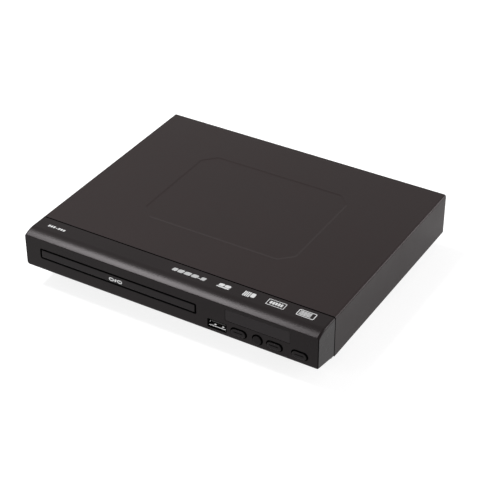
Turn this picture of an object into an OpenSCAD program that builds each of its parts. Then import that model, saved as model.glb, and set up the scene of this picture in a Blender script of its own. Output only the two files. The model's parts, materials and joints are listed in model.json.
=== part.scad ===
// Compact disc player with a motor-driven loading tray.
// +Z is up, the front faces -Y and the origin is at the middle of the box that
// holds the whole player, at the level of the surface it stands on. Millimetres.

/* [Casing] */
// Width across the cover and the front moulding
body_w = 223; // [222:1:250]
// Depth from the front face to the rear edge of the cover
shell_d = 184; // [183:1:215]
// Height of the cover's sides
shell_h = 30.8; // [30.4:0.2:40]
// How far the pan's floor lies below the cover's side edges
pan_drop = 3.4; // [2.6:0.2:3.8]
// Thickness of the cover's and the pan's steel sheet
sheet_t = 0.8; // [0.6:0.1:1]
// Outer radius of the sheet's folds
fold_r = 1.6; // [1.4:0.1:2.4]
// Height of the return lip along the cover's rear edge
lip_h = 8; // [7:0.5:11]
// Width of the embossed panel in the top of the cover
emboss_w = 117; // [60:1:160]
// Depth of the embossed panel from front to back
emboss_d = 89; // [50:1:110]
// How much the embossed panel's corners are cut off
emboss_cut = 9; // [3:0.5:16]
// How deep the embossed panel is pressed in
emboss_dip = 0.4; // [0.2:0.1:0.6]
// How far the embossed panel's middle lies in front of the middle of the cover's top
emboss_shift = 1; // [0:0.1:4]

/* [Front moulding] */
// Depth of the front moulding, from its face to the cover
bezel_d = 20.6; // [19:0.2:24]
// Thickness of the moulding's walls
bezel_wall = 2.2; // [1.8:0.1:2.4]
// Width of the dark joint between moulding and cover
seam_gap = 1; // [0.4:0.1:1.2]
// Radius of the roll along the moulding's top edge
roll_r = 19; // [15:0.5:24]
// How far behind the face the roll starts
roll_d = 9.5; // [8:0.5:10]
// How much higher the underside is at the face than at the cover
chin_rise = 3.9; // [2.5:0.1:4.5]
// Width of the tray's slot in the face
slot_w = 121.8; // [121.6:0.2:124]
// Height of the tray's slot in the face
slot_h = 7.1; // [6.9:0.1:7.6]
// Height of the slot's middle above the cover's side edges
slot_rise = 17.2; // [16.8:0.1:17.6]
// Width of the display window
window_w = 46.8; // [36:0.2:50]
// Height of the display window
window_h = 9; // [8:0.1:10.4]
// Distance from the right end to the window's middle
window_inset = 43.4; // [41:0.2:46]

/* [Controls and sockets] */
// Length of a pill-shaped button
pill_w = 10.4; // [9:0.1:11.8]
// Height of a pill-shaped button and diameter of its ends
pill_h = 4.6; // [4.4:0.1:5.8]
// Diameter of the round button
round_d = 6.2; // [5.6:0.1:7]
// Height of the buttons' middles above the cover's side edges
button_rise = 10.6; // [10.4:0.1:11.2]
// Gap between a button's cap and its hole
cap_gap = 0.7; // [0.3:0.1:0.9]
// How far the buttons stand proud of the face
button_proud = 1; // [0.7:0.1:1.6]
// How far a button travels when it is pressed
button_travel = 0.5; // [0.3:0.05:0.6]
// Distance from the right end to the power button's middle
power_inset = 13.1; // [11.8:0.1:13.6]
// Distance from the right end to the stop button's middle
stop_inset = 30.9; // [29:0.1:31.4]
// Distance from the right end to the round button's middle
round_inset = 43.1; // [42:0.1:43.8]
// Distance from the right end to the eject button's middle
eject_inset = 56.7; // [55.4:0.1:57.6]
// Distance from the right end to the USB socket's middle
usb_inset = 72.7; // [72:0.1:74]
// Width of the USB socket's shell
usb_w = 13.1; // [12.5:0.1:13.6]
// Height of the USB socket's shell
usb_h = 5.6; // [5.2:0.1:6]
// How far the rear jacks reach behind the cover
jack_reach = 5; // [3:0.5:8]
// Diameter of a rear jack's metal shell
jack_d = 8.3; // [8:0.1:8.6]
// Distance between neighbouring rear jacks
jack_pitch = 10.6; // [10.4:0.2:11]

/* [Tray] */
// Diameter of the disc that the tray takes
disc_d = 120; // [119:0.5:120]
// Diameter of the small disc that the inner recess takes
mini_disc_d = 80; // [60:1:81]
// Play round a disc in its recess
disc_play = 0.6; // [0.4:0.1:0.7]
// Gap between the tray and the sides of its slot
tray_gap = 0.5; // [0.4:0.1:0.7]
// Thickness of the tray's floor
tray_floor = 1.2; // [1:0.1:1.4]
// Thickness of the door on the tray's front
door_t = 2.4; // [2:0.1:3]
// How far the tray travels
tray_travel = 131; // [110:1:132]
// Distance from the left end to the tray's middle
tray_inset = 73.6; // [72.4:0.1:74]

/* [Loader] */
// Module of the tray's rack and its pinion
rack_module = 1; // [0.9:0.05:1]
// Number of teeth on the pinion that drives the tray
pinion_teeth = 12; // [12:1:12]
// Module of the reduction gears
gear_module = 0.8; // [0.7:0.05:0.8]
// Number of teeth on the drive gear's large wheel
drive_teeth = 22; // [20:2:22]
// Number of teeth on the belt pulley's small gear
pulley_teeth = 10; // [10:2:12]
// Outer radius of the belt pulley
pulley_r = 10; // [8:0.5:10]
// Outer radius of the motor's pulley
motor_pulley_r = 3.4; // [3:0.1:4]
// Thickness of the drive belt
belt_t = 1.2; // [1:0.1:1.4]
// Angle through which the traverse lifts
lift_angle = 4.4; // [4.2:0.1:4.6]
// How far the cam slider moves to lift the traverse
cam_travel = 14; // [12:1:16]
// How far the pickup moves out from the hub
pickup_travel = 35; // [28:1:35]
// Diameter of the pickup's guide rods
rod_d = 3; // [2.5:0.1:3.2]
// Diameter of the turntable
turntable_d = 30; // [26:1:32]
// Diameter of the clamp's pressure ring
clamp_d = 31; // [28:1:33]
// Diameter of the loading motor
motor_d = 15; // [13:0.5:15.4]

/* [Feet] */
// Height of the rubber feet
foot_h = 7.8; // [6:0.2:10]
// Diameter of the rubber feet
foot_d = 18; // [12:1:22]

/* [Hidden] */
$fn = 48;

// Shared clearances and small sizes
arc_steps = 6;
pass_gap = 0.3;
run_gap = 0.08;
cut_over = 1;
screw_d = 2.6;
screw_head_d = 5.2;
screw_head_h = 1.6;
board_t = 1.6;

// Casing levels and planes
z_pan = foot_h;
z_floor = z_pan + sheet_t;
z_side = foot_h + pan_drop;
z_top = z_side + shell_h;
y_min = -(button_proud + shell_d + jack_reach) / 2;
y_face = y_min + button_proud;
y_back = y_face + shell_d;
y_seam = y_face + bezel_d;
y_cover = y_seam + seam_gap;
y_wall = y_face + bezel_wall;
z_ceiling = z_top - sheet_t - emboss_dip;
hem_h = 4;
pan_half = body_w / 2 - 2 * sheet_t - pass_gap;
pan_flange_h = 12;
pan_lip_h = 6;
panel_t = 1;
panel_y = y_back - sheet_t;
foot_x = body_w / 2 - 23.5;
foot_front = y_face + 32;
foot_rear = y_back - 20;
foot_plug_d = 5;

// Front moulding
chin_a = atan(chin_rise / bezel_d);
crease_r = 0.4;
chin_r = 2;
end_r = 0.5;
z_slot = z_side + slot_rise;
window_x = body_w / 2 - window_inset;
window_top = z_top - 5.3;
window_z = window_top - window_h / 2;
window_t = 1.2;
window_gap = 0.15;
button_z = z_side + button_rise;
eject_x = body_w / 2 - eject_inset;
round_x = body_w / 2 - round_inset;
stop_x = body_w / 2 - stop_inset;
power_x = body_w / 2 - power_inset;
usb_x = body_w / 2 - usb_inset;
usb_z = z_side + 10.3;

// Front board, parallel to the face
front_board_y = y_face + 11.8;
front_board_x0 = usb_x - 9.5;
front_board_x1 = body_w / 2 - 4;
front_board_z0 = z_side + 5;
front_board_z1 = z_top - 3.6;
boss_x = [front_board_x0 + 5, front_board_x1 - 5];
boss_z = window_top - 2;
switch_w = 6;
switch_h = 3.6;
plunger_d = 3.4;
cap_flange = 0.9;
cap_lip = cap_gap + 0.5;
cap_flange_y = y_wall + pass_gap;
plunger_y = front_board_y - switch_h - 1.2;

// Tray, closed
tray_x = -body_w / 2 + tray_inset;
tray_w = slot_w - 2 * tray_gap;
tray_h = slot_h - 1.3;
tray_z0 = z_slot - slot_h / 2 + 0.45;
tray_z1 = tray_z0 + tray_h;
tray_y0 = y_face + door_t;
pocket_r = disc_d / 2 + disc_play;
mini_r = mini_disc_d / 2 + disc_play;
disc_y = tray_y0 + 6.2 + pocket_r;
floor_z = tray_z0 + 3;
floor_z0 = floor_z - tray_floor;
mini_dip = 0.8;
grip_half = 26;
grip_reach = 8;
slot_r = 18.5;
tray_slot_end = disc_y + 66.4;
tray_y1 = tray_slot_end + 5.4;
tail_y = tray_y1 + 21;
tail_w = 4.2;
rail_w = 1.8;
door_w = tray_w;
door_h = slot_h - 1;

// Loader frame, about the tray's centre line
wall_x = slot_w / 2;
wall_t = 2.4;
frame_y0 = y_wall + 0.6;
frame_y1 = tail_y + 4;
deck_z = tray_z0 - 6.2;
frame_z0 = deck_z - 1;
deck_t = 1.2;
rib_h = 1.2;
deck_top = deck_z + deck_t;
bridge_z = tray_z1 + 2.6;
bridge_t = 1;
bridge_half = 16;
bridge_ear = 8;
ledge_top = tray_z0 - pass_gap;
standoff_d = 7;
board_post_d = 5.4;
standoff_plug_d = 4;
standoff_front = y_cover + 6.2;
standoff_rear = frame_y1 - 7;
standoff_x = wall_x - 5.2;
bridge_screw_x = wall_x + 4.6;

// Gear train under the tray's left side
rack_x = -tray_w / 2 + 3.65;
pinion_r = rack_module * pinion_teeth / 2;
drive_r = gear_module * drive_teeth / 2;
small_r = gear_module * pulley_teeth / 2;
drive_at = [rack_x + pinion_r, y_face + 20];
pulley_at = drive_at + [drive_r + small_r, 0];
motor_at = [-2, y_cover + 9.6];
pulley_z0 = deck_top + pass_gap;
pulley_z1 = pulley_z0 + 2.2;
gear_z0 = pulley_z1 + 0.25;
gear_z1 = gear_z0 + 1.7;
pinion_z1 = floor_z0 - pass_gap;
post_d = 3;
backlash = 0.25;
belt_z = (pulley_z0 + pulley_z1) / 2;
groove_d = 1.1;
belt_gap = 0.15;

// Traverse, described level (lifted) and then lowered about its pivot
pivot_y = disc_y + 76.8;
pivot_z = deck_z + 0.7;
plate_z = pivot_z - pass_gap;
plate_t = 1.2;
plate_top = plate_z + plate_t;
plate_y0 = disc_y - 17.2;
plate_y1 = pivot_y + 0.4;
lift_half = wall_x - 8.7;
plate_half = lift_half - 5.5;
lift_wall = 3;
lift_y0 = disc_y - 22.2;
lift_y1 = pivot_y + 4;
lift_z0 = pivot_z - 2.6;
lift_z1 = pivot_z + 2.6;
pivot_d = 4;
pivot_reach = 5.5;
cam_pin_d = 3;
cam_pin_x = 20;
cam_pin_reach = 5;
well_half = plate_half - 12;
well_y0 = disc_y + 12.8;
well_y1 = pivot_y - 4;
damper_x = plate_half - 5;
damper_y = [plate_y0 + 5, plate_y1 - 6];
damper_d = 9;
damper_neck = 6;
seat_z = floor_z + 1;
cone_h = 1.8;
rotor_r = 13;
rotor_z0 = plate_top + 1.7;
table_z0 = seat_z - 2.8;
shaft_d = 2.4;
lens_y = disc_y + 23;
rod_x = well_half - 6.5;
rod_z = plate_top + 1.7;
rod_y0 = well_y0 - 3;
rod_y1 = well_y1 + 3;
pickup_z0 = plate_z - 3.6;
pickup_z1 = table_z0 - 1;
pickup_front = lens_y - 8;
pickup_back = lens_y + 14;
lens_top = seat_z - 1.9;
lens_d = 5.1;
lens_t = 1.6;
lens_r = 5.2;
sled_small = 12;
sled_big = 20;
sled_pinion_teeth = 10;
sled_rack_x = -(rod_x + 7.5);
sled_r = gear_module * sled_small / 2;
sled_at = [sled_rack_x - sled_r, disc_y + 31.5];
sled_dir = 98;
sled_step = gear_module * (sled_big + sled_pinion_teeth) / 2;
sled_motor_at = sled_at + sled_step * [cos(sled_dir), sin(sled_dir)];
sled_motor_d = 13;
sled_z0 = plate_top + 0.5;
sled_z1 = sled_z0 + 1.7;
sled_z2 = sled_z1 + 0.3;
sled_z3 = sled_z2 + 1.2;

// Cam slider in front of the traverse
slider_y1 = lift_y0 - 2.2;
slider_t = 2.2;
slider_ledge = 5.2;
deck_y1 = slider_y1 - slider_t - 0.9;
slider_x0 = -(cam_pin_x + cam_travel + 6);
slider_x1 = cam_pin_x + 10;
slider_z0 = z_floor + 1.4;
slider_z1 = deck_top + 2.6;
pin_y = lift_y0 - cam_pin_reach;
pin_drop = (pivot_y - lift_y0 + cam_pin_reach / 2) * sin(lift_angle);

// Clamp above the disc
puck_z0 = tray_z1 + 0.5;
puck_neck_d = 22;
puck_rim_h = 1.6;
bridge_hole_d = 25;
cap_d = 29;

// Boards behind the loader's right side
board_z = z_floor + 6;
board_top = board_z + board_t;
board_back = panel_y - panel_t - 0.6;
main_x0 = tray_x + wall_x + wall_t + 2.4;
main_x1 = main_x0 + 48;
main_y0 = y_back - 88;
power_x1 = pan_half - sheet_t - 1.5;
power_x0 = main_x1 + 2.5;
power_y0 = y_back - 98;
jack_x = [for (i = [0:2]) main_x0 + 5.6 + i * jack_pitch];
jack_z = board_top + 8;
jack_collar_d = 10;
hdmi_x = main_x1 - 7.8;
hdmi_w = 15;
hdmi_h = 5.6;
inlet_x = (power_x0 + power_x1) / 2;
inlet_w = 21;
inlet_h = 14;
inlet_z = board_top + 8;
inlet_pitch = 8.6;
cover_screw_x = [-body_w / 2 + 14, tray_x + 50, body_w / 2 - 14];
cover_screw_z = z_top - lip_h / 2 - 0.4;

// Colours
charcoal = [0.2, 0.19, 0.19];
graphite = [0.13, 0.13, 0.14];
steel = [0.72, 0.73, 0.74];
zinc = [0.62, 0.63, 0.62];
black = [0.06, 0.06, 0.06];
ivory = [0.86, 0.84, 0.76];
white = [0.88, 0.88, 0.86];
board_green = [0.08, 0.3, 0.16];
brass = [0.78, 0.63, 0.3];
smoke = [0.1, 0.1, 0.12];
lens_blue = [0.5, 0.55, 0.75];
board_brown = [0.55, 0.42, 0.22];
film_blue = [0.16, 0.2, 0.34];
pale_grey = [0.6, 0.6, 0.61];
rubber = [0.1, 0.1, 0.1];

// ---------------------------------------------------------------- drawing aids

// Points along an arc, angles in degrees
function arc(c, r, from, to, n = arc_steps) =
    [for (i = [0:n]) c + r * [cos(from + (to - from) * i / n), sin(from + (to - from) * i / n)]];

// Outline of a rectangle with round corners
function round_rect(w, h, r) = concat(
    arc([w / 2 - r, h / 2 - r], r, 0, 90),
    arc([r - w / 2, h / 2 - r], r, 90, 180),
    arc([r - w / 2, r - h / 2], r, 180, 270),
    arc([w / 2 - r, r - h / 2], r, 270, 360));

// Loop of a belt round two pulleys, the smaller one first
function belt_loop(c1, r1, c2, r2) =
    let(
        step = c2 - c1,
        dir = atan2(step.y, step.x),
        wrap = acos((r1 - r2) / norm(step)))
    concat(
        arc(c2, r2, dir - wrap, dir + wrap, 24),
        arc(c1, r1, dir + wrap, dir + 360 - wrap, 12));

// Involute function, in degrees
function involute(a) = tan(a) * 180 / PI - a;

// Half of a tooth's angle at radius r, for a gear of pitch radius rp
function tooth_half(r, rp, m) =
    let(
        base = rp * cos(20),
        a = r > base ? acos(base / r) : 0,
        at_pitch = (PI * m / 2 - backlash) / (2 * rp) * 180 / PI)
    at_pitch + involute(20) - involute(a);

// Outline of a spur gear with a tooth at angle turn
function gear_outline(m, teeth, turn = 0) =
    let(
        rp = m * teeth / 2,
        root = rp - 1.15 * m,
        tip = rp + 0.85 * m,
        flank = [root, max(root + 0.05, rp - 0.45 * m), rp, rp + 0.45 * m, tip])
    [for (k = [0:teeth - 1])
        for (side = [-1, 1])
            for (i = [0:4])
                let(
                    r = flank[side < 0 ? i : 4 - i],
                    a = turn + 360 * k / teeth + side * tooth_half(r, rp, m))
                r * [cos(a), sin(a)]];

// Turn of a gear of n2 teeth that meshes with one of n1 teeth, seen along dir
function mesh_turn(dir, n1, n2, turn1 = 0) =
    dir + 180 - (0.5 - (dir - turn1) * n1 / 360) * 360 / n2;

// A block from its lowest to its highest corner
module block(lo, hi) {
    translate(lo) cube(hi - lo);
}

// A flat outline in Y and Z, drawn out along X
module along_x(len) {
    rotate([90, 0, 90]) linear_extrude(height = len, center = true) children();
}

// A flat outline in X and Z, drawn out along Y from y0 to y1
module along_y(y0, y1) {
    translate([0, y1, 0]) rotate([90, 0, 0]) linear_extrude(height = y1 - y0) children();
}

// A flat outline in X and Y, drawn up from z0 to z1
module upward(z0, z1) {
    translate([0, 0, z0]) linear_extrude(height = z1 - z0) children();
}

// A round bar along Y
module bar_y(at, d, y0, y1) {
    translate([at.x, y1, at.y]) rotate([90, 0, 0]) cylinder(d = d, h = y1 - y0);
}

// A round post along Z
module post(at, d, z0, z1) {
    translate([at.x, at.y, z0]) cylinder(d = d, h = z1 - z0);
}

// A pan-head screw pointing down, its head on the level z
module screw_down(at, z, length) {
    post(at, screw_d - 2 * run_gap, z - length, z + 0.1);
    difference() {
        post(at, screw_head_d, z, z + screw_head_h);
        translate([at.x, at.y, z + screw_head_h]) cross_slot();
    }
}

// Cross recess cut into a screw's head
module cross_slot() {
    for (a = [0, 90]) rotate([0, 0, a]) cube([3, 0.7, 1.4], center = true);
}

// A slot of width w between two points, in a flat outline
module slot_between(p, q, w) {
    side = w / 2 * [-(q - p).y, (q - p).x] / norm(q - p);
    translate(p) circle(d = w);
    translate(q) circle(d = w);
    polygon([p + side, q + side, q - side, p - side]);
}

// Four symmetric places
module four(x, y) {
    for (sx = [-1, 1], sy = y) translate([sx * x, sy, 0]) children();
}

// Places the loader's pieces on the tray's centre line
module at_loader() {
    translate([tray_x, 0, 0]) children();
}

// Lowers the traverse from its lifted place
module lowered() {
    translate([tray_x, pivot_y, pivot_z]) rotate([lift_angle, 0, 0]) translate([0, -pivot_y, -pivot_z])
        children();
}

// ---------------------------------------------------------------- casing

// U-shaped section of folded sheet, open at the bottom
function fold_section(half, z0, z1, r, t) = concat(
    [[-half, z0]], arc([r - half, z1 - r], r, 180, 90),
    arc([half - r, z1 - r], r, 90, 0), [[half, z0], [half - t, z0]],
    arc([half - r, z1 - r], r - t, 0, 90),
    arc([r - half, z1 - r], r - t, 90, 180), [[t - half, z0]]);

// Outline of a block whose two upper corners are round
function fold_outline(half, z0, z1, r) = concat(
    [[-half, z0]], arc([r - half, z1 - r], r, 180, 90), arc([half - r, z1 - r], r, 90, 0), [[half, z0]]);

// Outline of the embossed panel
function cut_rect(w, d, c) = [
    [-w / 2, c - d / 2], [c - w / 2, -d / 2], [w / 2 - c, -d / 2], [w / 2, c - d / 2],
    [w / 2, d / 2 - c], [w / 2 - c, d / 2], [c - w / 2, d / 2], [-w / 2, d / 2 - c]];

module emboss(inset) {
    translate([0, (y_cover + y_back) / 2 - emboss_shift])
        polygon(cut_rect(emboss_w - 2 * inset, emboss_d - 2 * inset, emboss_cut - inset / 2));
}

module top_cover() color(charcoal) difference() {
    union() {
        along_y(y_cover, y_back) polygon(fold_section(body_w / 2, z_side, z_top, fold_r, sheet_t));
        for (s = [-1, 1])
            translate([s * (body_w / 2 - 1.5 * sheet_t), (y_cover + y_back) / 2, z_side + hem_h / 2])
                cube([sheet_t, shell_d - bezel_d - seam_gap, hem_h], center = true);
        block([fold_r - body_w / 2, y_back - sheet_t, z_top - lip_h],
              [body_w / 2 - fold_r, y_back, z_top - sheet_t / 2]);
        upward(z_ceiling, z_top - sheet_t / 2) emboss(-0.6);
    }
    upward(z_top - emboss_dip, z_top + cut_over) emboss(0);
    for (x = cover_screw_x)
        bar_y([x, cover_screw_z], screw_d + 0.8, y_back - sheet_t - cut_over, y_back + cut_over);
}

module bottom_chassis() color(zinc) difference() {
    union() {
        mirror([0, 0, 1]) translate([0, 0, -2 * z_pan - pan_flange_h])
            along_y(y_cover, panel_y)
                polygon(fold_section(pan_half, z_pan, z_pan + pan_flange_h, fold_r, sheet_t));
        block([2 * fold_r - pan_half, y_cover, z_pan],
              [pan_half - 2 * fold_r, y_cover + sheet_t, z_pan + pan_lip_h]);
        for (x = [main_x0 + 10, main_x1, power_x1 - 10])
            block([x - 4, y_cover + 14, z_pan], [x + 4, y_cover + 46, z_floor + 0.6]);
    }
    for (p = standoff_places()) post(p, standoff_plug_d + 2 * run_gap, z_pan - cut_over, z_floor + cut_over);
    four(foot_x, [foot_front, foot_rear]) cylinder(d = foot_plug_d + 2 * run_gap, h = z_floor + cut_over);
    for (i = [0:8]) translate([(power_x0 + power_x1) / 2, power_y0 + 18 + 6 * i, z_pan])
        linear_extrude(height = 4, center = true) polygon(round_rect(22, 2.2, 1));
    for (i = [0:6]) translate([tray_x, disc_y + 44 + 6 * i, z_pan])
        linear_extrude(height = 4, center = true) polygon(round_rect(46, 2.2, 1));
}

// A turned post pressed into the pan, with a screw hole from above
module standoff(at, d, top) {
    difference() {
        union() {
            post(at, d, z_floor, top);
            post(at, standoff_plug_d, z_pan + 0.1, z_floor + 0.1);
        }
        post(at, screw_d, z_floor + 1.2, top + cut_over);
    }
}

module standoffs() color(zinc) {
    for (p = loader_posts()) standoff(p, standoff_d, deck_z);
    for (p = board_posts()) standoff(p, board_post_d, board_z);
}

// Places of all the pressed-in posts
function standoff_places() = concat(loader_posts(), board_posts());

// Places of the posts under the loader's four corners
function loader_posts() = [
    for (y = [standoff_front, standoff_rear]) for (s = [-1, 1]) [tray_x + s * standoff_x, y]];

// Places of the posts under the two rear boards
function board_posts() = [
    for (x = [main_x0 + 4, main_x1 - 4, power_x0 + 4, power_x1 - 4])
        for (y = [(x < power_x0 ? main_y0 : power_y0) + 4, board_back - 22]) [x, y]];

// Outline of the rear panel, its lower corners cut for the pan's folds
function panel_outline(half, cut) = [
    [-half, z_floor + cut], [cut - half, z_floor], [half - cut, z_floor], [half, z_floor + cut],
    [half, z_top - sheet_t - 0.2], [-half, z_top - sheet_t - 0.2]];

module rear_panel() color(zinc) difference() {
    union() {
        along_y(panel_y - panel_t, panel_y) polygon(panel_outline(pan_half - sheet_t - 0.2, fold_r));
        block([-pan_half + fold_r + 1, panel_y - 9, z_floor],
              [pan_half - fold_r - 1, panel_y - panel_t / 2, z_floor + panel_t]);
    }
    for (x = cover_screw_x) bar_y([x, cover_screw_z], screw_d, panel_y - 4, panel_y + cut_over);
    for (x = jack_x)
        bar_y([x, jack_z], jack_collar_d + 0.4, panel_y - 4, panel_y + cut_over);
    block([hdmi_x - hdmi_w / 2 - 0.5, panel_y - 4, board_top - 0.4],
          [hdmi_x + hdmi_w / 2 + 0.5, panel_y + cut_over, board_top + hdmi_h + 0.5]);
    block([inlet_x - inlet_w / 2 - 0.2, panel_y - 4, inlet_z - inlet_h / 2 - 0.2],
          [inlet_x + inlet_w / 2 + 0.2, panel_y + cut_over, inlet_z + inlet_h / 2 + 0.2]);
    for (i = [0:11]) translate([tray_x - 33 + 6 * i, panel_y, (z_floor + z_top) / 2 + 1])
        rotate([90, 0, 0]) linear_extrude(height = 8, center = true) polygon(round_rect(2.4, 15, 1.1));
}

module rubber_feet() color(rubber) four(foot_x, [foot_front, foot_rear]) {
    rotate_extrude() polygon(concat(
        [[0, 0.4], [foot_d / 4, 0.4], [foot_d / 4 + 0.8, 0]],
        arc([foot_d / 2 - 1.2, 1.2], 1.2, 270, 360),
        [[foot_d / 2 - 0.6, z_pan], [foot_plug_d / 2, z_pan],
         [foot_plug_d / 2, z_floor + 1.2], [0, z_floor + 1.2]]));
}

module cover_screws() color(steel)
    for (x = cover_screw_x) translate([x, y_back, cover_screw_z]) rotate([-90, 0, 0])
        screw_down([0, 0], 0, 5);

// Section of the front moulding, inset from its outer face, open at the back
function bezel_section(inset, crease, chin, back) =
    let(
        y0 = y_face + inset,
        roll = [y_face + roll_d, z_top - roll_r],
        big = roll_r - inset - crease,
        reach = roll_d - inset - crease,
        turn = 180 - acos(reach / big),
        top_c = [y0 + crease, roll.y + sqrt(big * big - reach * reach)],
        low_c = [y0 + chin, chin_line(y0 + chin, inset + chin)])
    concat(
        [[back, z_top - inset]],
        arc(roll, roll_r - inset, 90, turn, 2 * arc_steps),
        arc(top_c, crease, turn, 180),
        arc(low_c, chin, 180, 270 - chin_a),
        [[back, chin_line(back, inset)]]);

// Height of the moulding's sloping underside, inset by a wall
function chin_line(y, inset) =
    z_side + chin_rise - tan(chin_a) * (y - y_face) + inset / cos(chin_a);

// Bounds the moulding's ends so that their upper edges carry on the cover's folds
module bezel_top_ends() {
    along_y(y_face - cut_over, y_seam + cut_over) polygon(fold_outline(body_w / 2, 0, z_top, fold_r));
}

// Bounds the moulding's ends with round edges along the sloping underside
module bezel_chin_ends() {
    translate([0, y_face, z_side + chin_rise]) rotate([-chin_a, 0, 0]) mirror([0, 0, 1])
        along_y(-shell_h, bezel_d + shell_h) polygon(fold_outline(body_w / 2, -2 * shell_h, 0, fold_r));
}

// Plan of the front moulding with its round front corners
function bezel_plan() = concat(
    [[body_w / 2, y_seam], [-body_w / 2, y_seam]],
    arc([end_r - body_w / 2, y_face + end_r], end_r, 180, 270),
    arc([body_w / 2 - end_r, y_face + end_r], end_r, 270, 360));

// Tongues that slide under the cover's top and sides
module bezel_tongues() {
    under = z_top - sheet_t - pass_gap;
    side = body_w / 2 - sheet_t - pass_gap;
    block([-side + 3, y_seam - 4, under - 1.6], [side - 3, y_cover + 3.4, under]);
    for (s = [-1, 1]) translate([s * (side - 0.7), 0, 0])
        block([-0.7, y_seam - 4, z_pan + pan_flange_h + 1.5], [0.7, y_cover + 3.4, under - 3]);
}

// Hooks that hold the moulding on the pan's front lip
module bezel_hooks() {
    lip_top = z_pan + pan_lip_h + pass_gap;
    for (x = [-80, -20, 75] * body_w / 223) {
        block([x - 5, y_seam - 5, lip_top - 2], [x + 5, y_seam - 1, lip_top + 1.5]);
        block([x - 5, y_seam - 3, lip_top], [x + 5, y_cover + sheet_t + pass_gap + 1.4, lip_top + 1.5]);
        block([x - 5, y_cover + sheet_t + pass_gap, lip_top - 2],
              [x + 5, y_cover + sheet_t + pass_gap + 1.4, lip_top + 0.2]);
    }
}

module board_bosses() {
    for (x = boss_x) difference() {
        bar_y([x, boss_z], 5.6, y_wall - 0.4, front_board_y);
        bar_y([x, boss_z], screw_d, y_wall + 1.4, front_board_y + cut_over);
    }
}

// Outline of a button of width w and height h, in X and Z
module button_shape(w, h) {
    if (w > h) slot_between([(h - w) / 2, 0], [(w - h) / 2, 0], h);
    else circle(d = h);
}

module button_at(x, y0, y1, w, h) {
    along_y(y0, y1) translate([x, button_z]) button_shape(w, h);
}

module front_bezel() color(graphite) difference() {
    union() {
        difference() {
            intersection() {
                along_x(body_w) polygon(bezel_section(0, crease_r, chin_r, y_seam));
                upward(0, z_top + cut_over) polygon(bezel_plan());
                bezel_top_ends();
                bezel_chin_ends();
            }
            along_x(body_w - 2 * bezel_wall) polygon(bezel_section(bezel_wall, 0.5, 0.5, y_seam + cut_over));
        }
        bezel_tongues();
        bezel_hooks();
        board_bosses();
    }
    at_loader() along_y(y_face - cut_over, y_wall + cut_over) translate([0, z_slot])
        polygon(round_rect(slot_w, slot_h, 0.8));
    along_y(y_face - cut_over, y_face + window_t) translate([window_x, window_z])
        polygon(round_rect(window_w, window_h, 0.8));
    along_y(y_face - cut_over, y_wall + cut_over) translate([window_x, window_z])
        polygon(round_rect(window_w - 5, window_h - 3, 0.8));
    along_y(y_face - cut_over, y_wall + cut_over) translate([usb_x, usb_z])
        polygon(round_rect(usb_w + 0.6, usb_h + 0.6, 0.6));
    for (x = [eject_x, stop_x, power_x])
        button_at(x, y_face - cut_over, y_wall + cut_over, pill_w + 2 * cap_gap, pill_h + 2 * cap_gap);
    button_at(round_x, y_face - cut_over, y_wall + cut_over, 0, round_d + 2 * cap_gap);
}

module display_window() color(smoke)
    along_y(y_face + 0.05, y_face + window_t) translate([window_x, window_z])
        polygon(round_rect(window_w - 2 * window_gap, window_h - 2 * window_gap, 0.7));

// ---------------------------------------------------------------- buttons and front board

// A button's cap with its retaining flange and stem, pressed along +Y
module button(x, w, h) {
    button_at(x, y_face - button_proud, cap_flange_y + 0.1, w, h);
    button_at(x, cap_flange_y, cap_flange_y + cap_flange, max(w, h) + 2 * cap_lip, h + 2 * cap_lip);
    bar_y([x, button_z], plunger_d, cap_flange_y + cap_flange - 0.1, plunger_y);
}

// The switch's own moving pin, behind the button's stem
module plunger(x) {
    bar_y([x, button_z], plunger_d, plunger_y, front_board_y - switch_h + 0.9);
}

module eject_button() color(graphite) button(eject_x, pill_w, pill_h);
module stop_button() color(graphite) button(stop_x, pill_w, pill_h);
module power_button() color(graphite) button(power_x, pill_w, pill_h);
module round_button() color(graphite) button(round_x, 0, round_d);
module eject_plunger() color(ivory) plunger(eject_x);
module stop_plunger() color(ivory) plunger(stop_x);
module power_plunger() color(ivory) plunger(power_x);
module round_plunger() color(ivory) plunger(round_x);

module tact_switches() color(pale_grey) for (x = [eject_x, round_x, stop_x, power_x]) difference() {
    translate([x, 0, button_z])
        block([-switch_w / 2, front_board_y - switch_h, -switch_w / 2],
              [switch_w / 2, front_board_y, switch_w / 2]);
    bar_y([x, button_z], plunger_d + 0.2, front_board_y - switch_h - cut_over, front_board_y - 0.8);
}

module front_board() color(board_green) difference() {
    block([front_board_x0, front_board_y, front_board_z0],
          [front_board_x1, front_board_y + board_t, front_board_z1]);
    for (x = boss_x)
        bar_y([x, boss_z], screw_d + 0.4, front_board_y - cut_over, front_board_y + board_t + cut_over);
}

module display_module() color(black) {
    difference() {
        block([window_x - window_w / 2 + 3.4, y_wall + 0.3, window_z - window_h / 2 + 1],
              [window_x + window_w / 2 - 9, front_board_y, window_z + window_h / 2 - 1.6]);
        for (i = [0:3]) translate([window_x - 12.6 + 8 * i, y_wall + 0.3, window_z - 0.3])
            cube([5, 0.6, 5.6], center = true);
    }
}

module ir_receiver() color(black) {
    x = window_x + window_w / 2 - 5.4;
    block([x - 2.6, y_wall + 2.2, window_z - 3.4], [x + 2.6, front_board_y, window_z + 2.6]);
    translate([x, y_wall + 2.4, window_z]) sphere(d = 4);
}

module usb_socket() color(steel) difference() {
    along_y(y_face + 0.25, front_board_y) translate([usb_x, usb_z]) polygon(round_rect(usb_w, usb_h, 0.5));
    along_y(y_face - cut_over, front_board_y - 0.5) translate([usb_x, usb_z])
        polygon(round_rect(usb_w - 0.7, usb_h - 0.7, 0.3));
}

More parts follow.
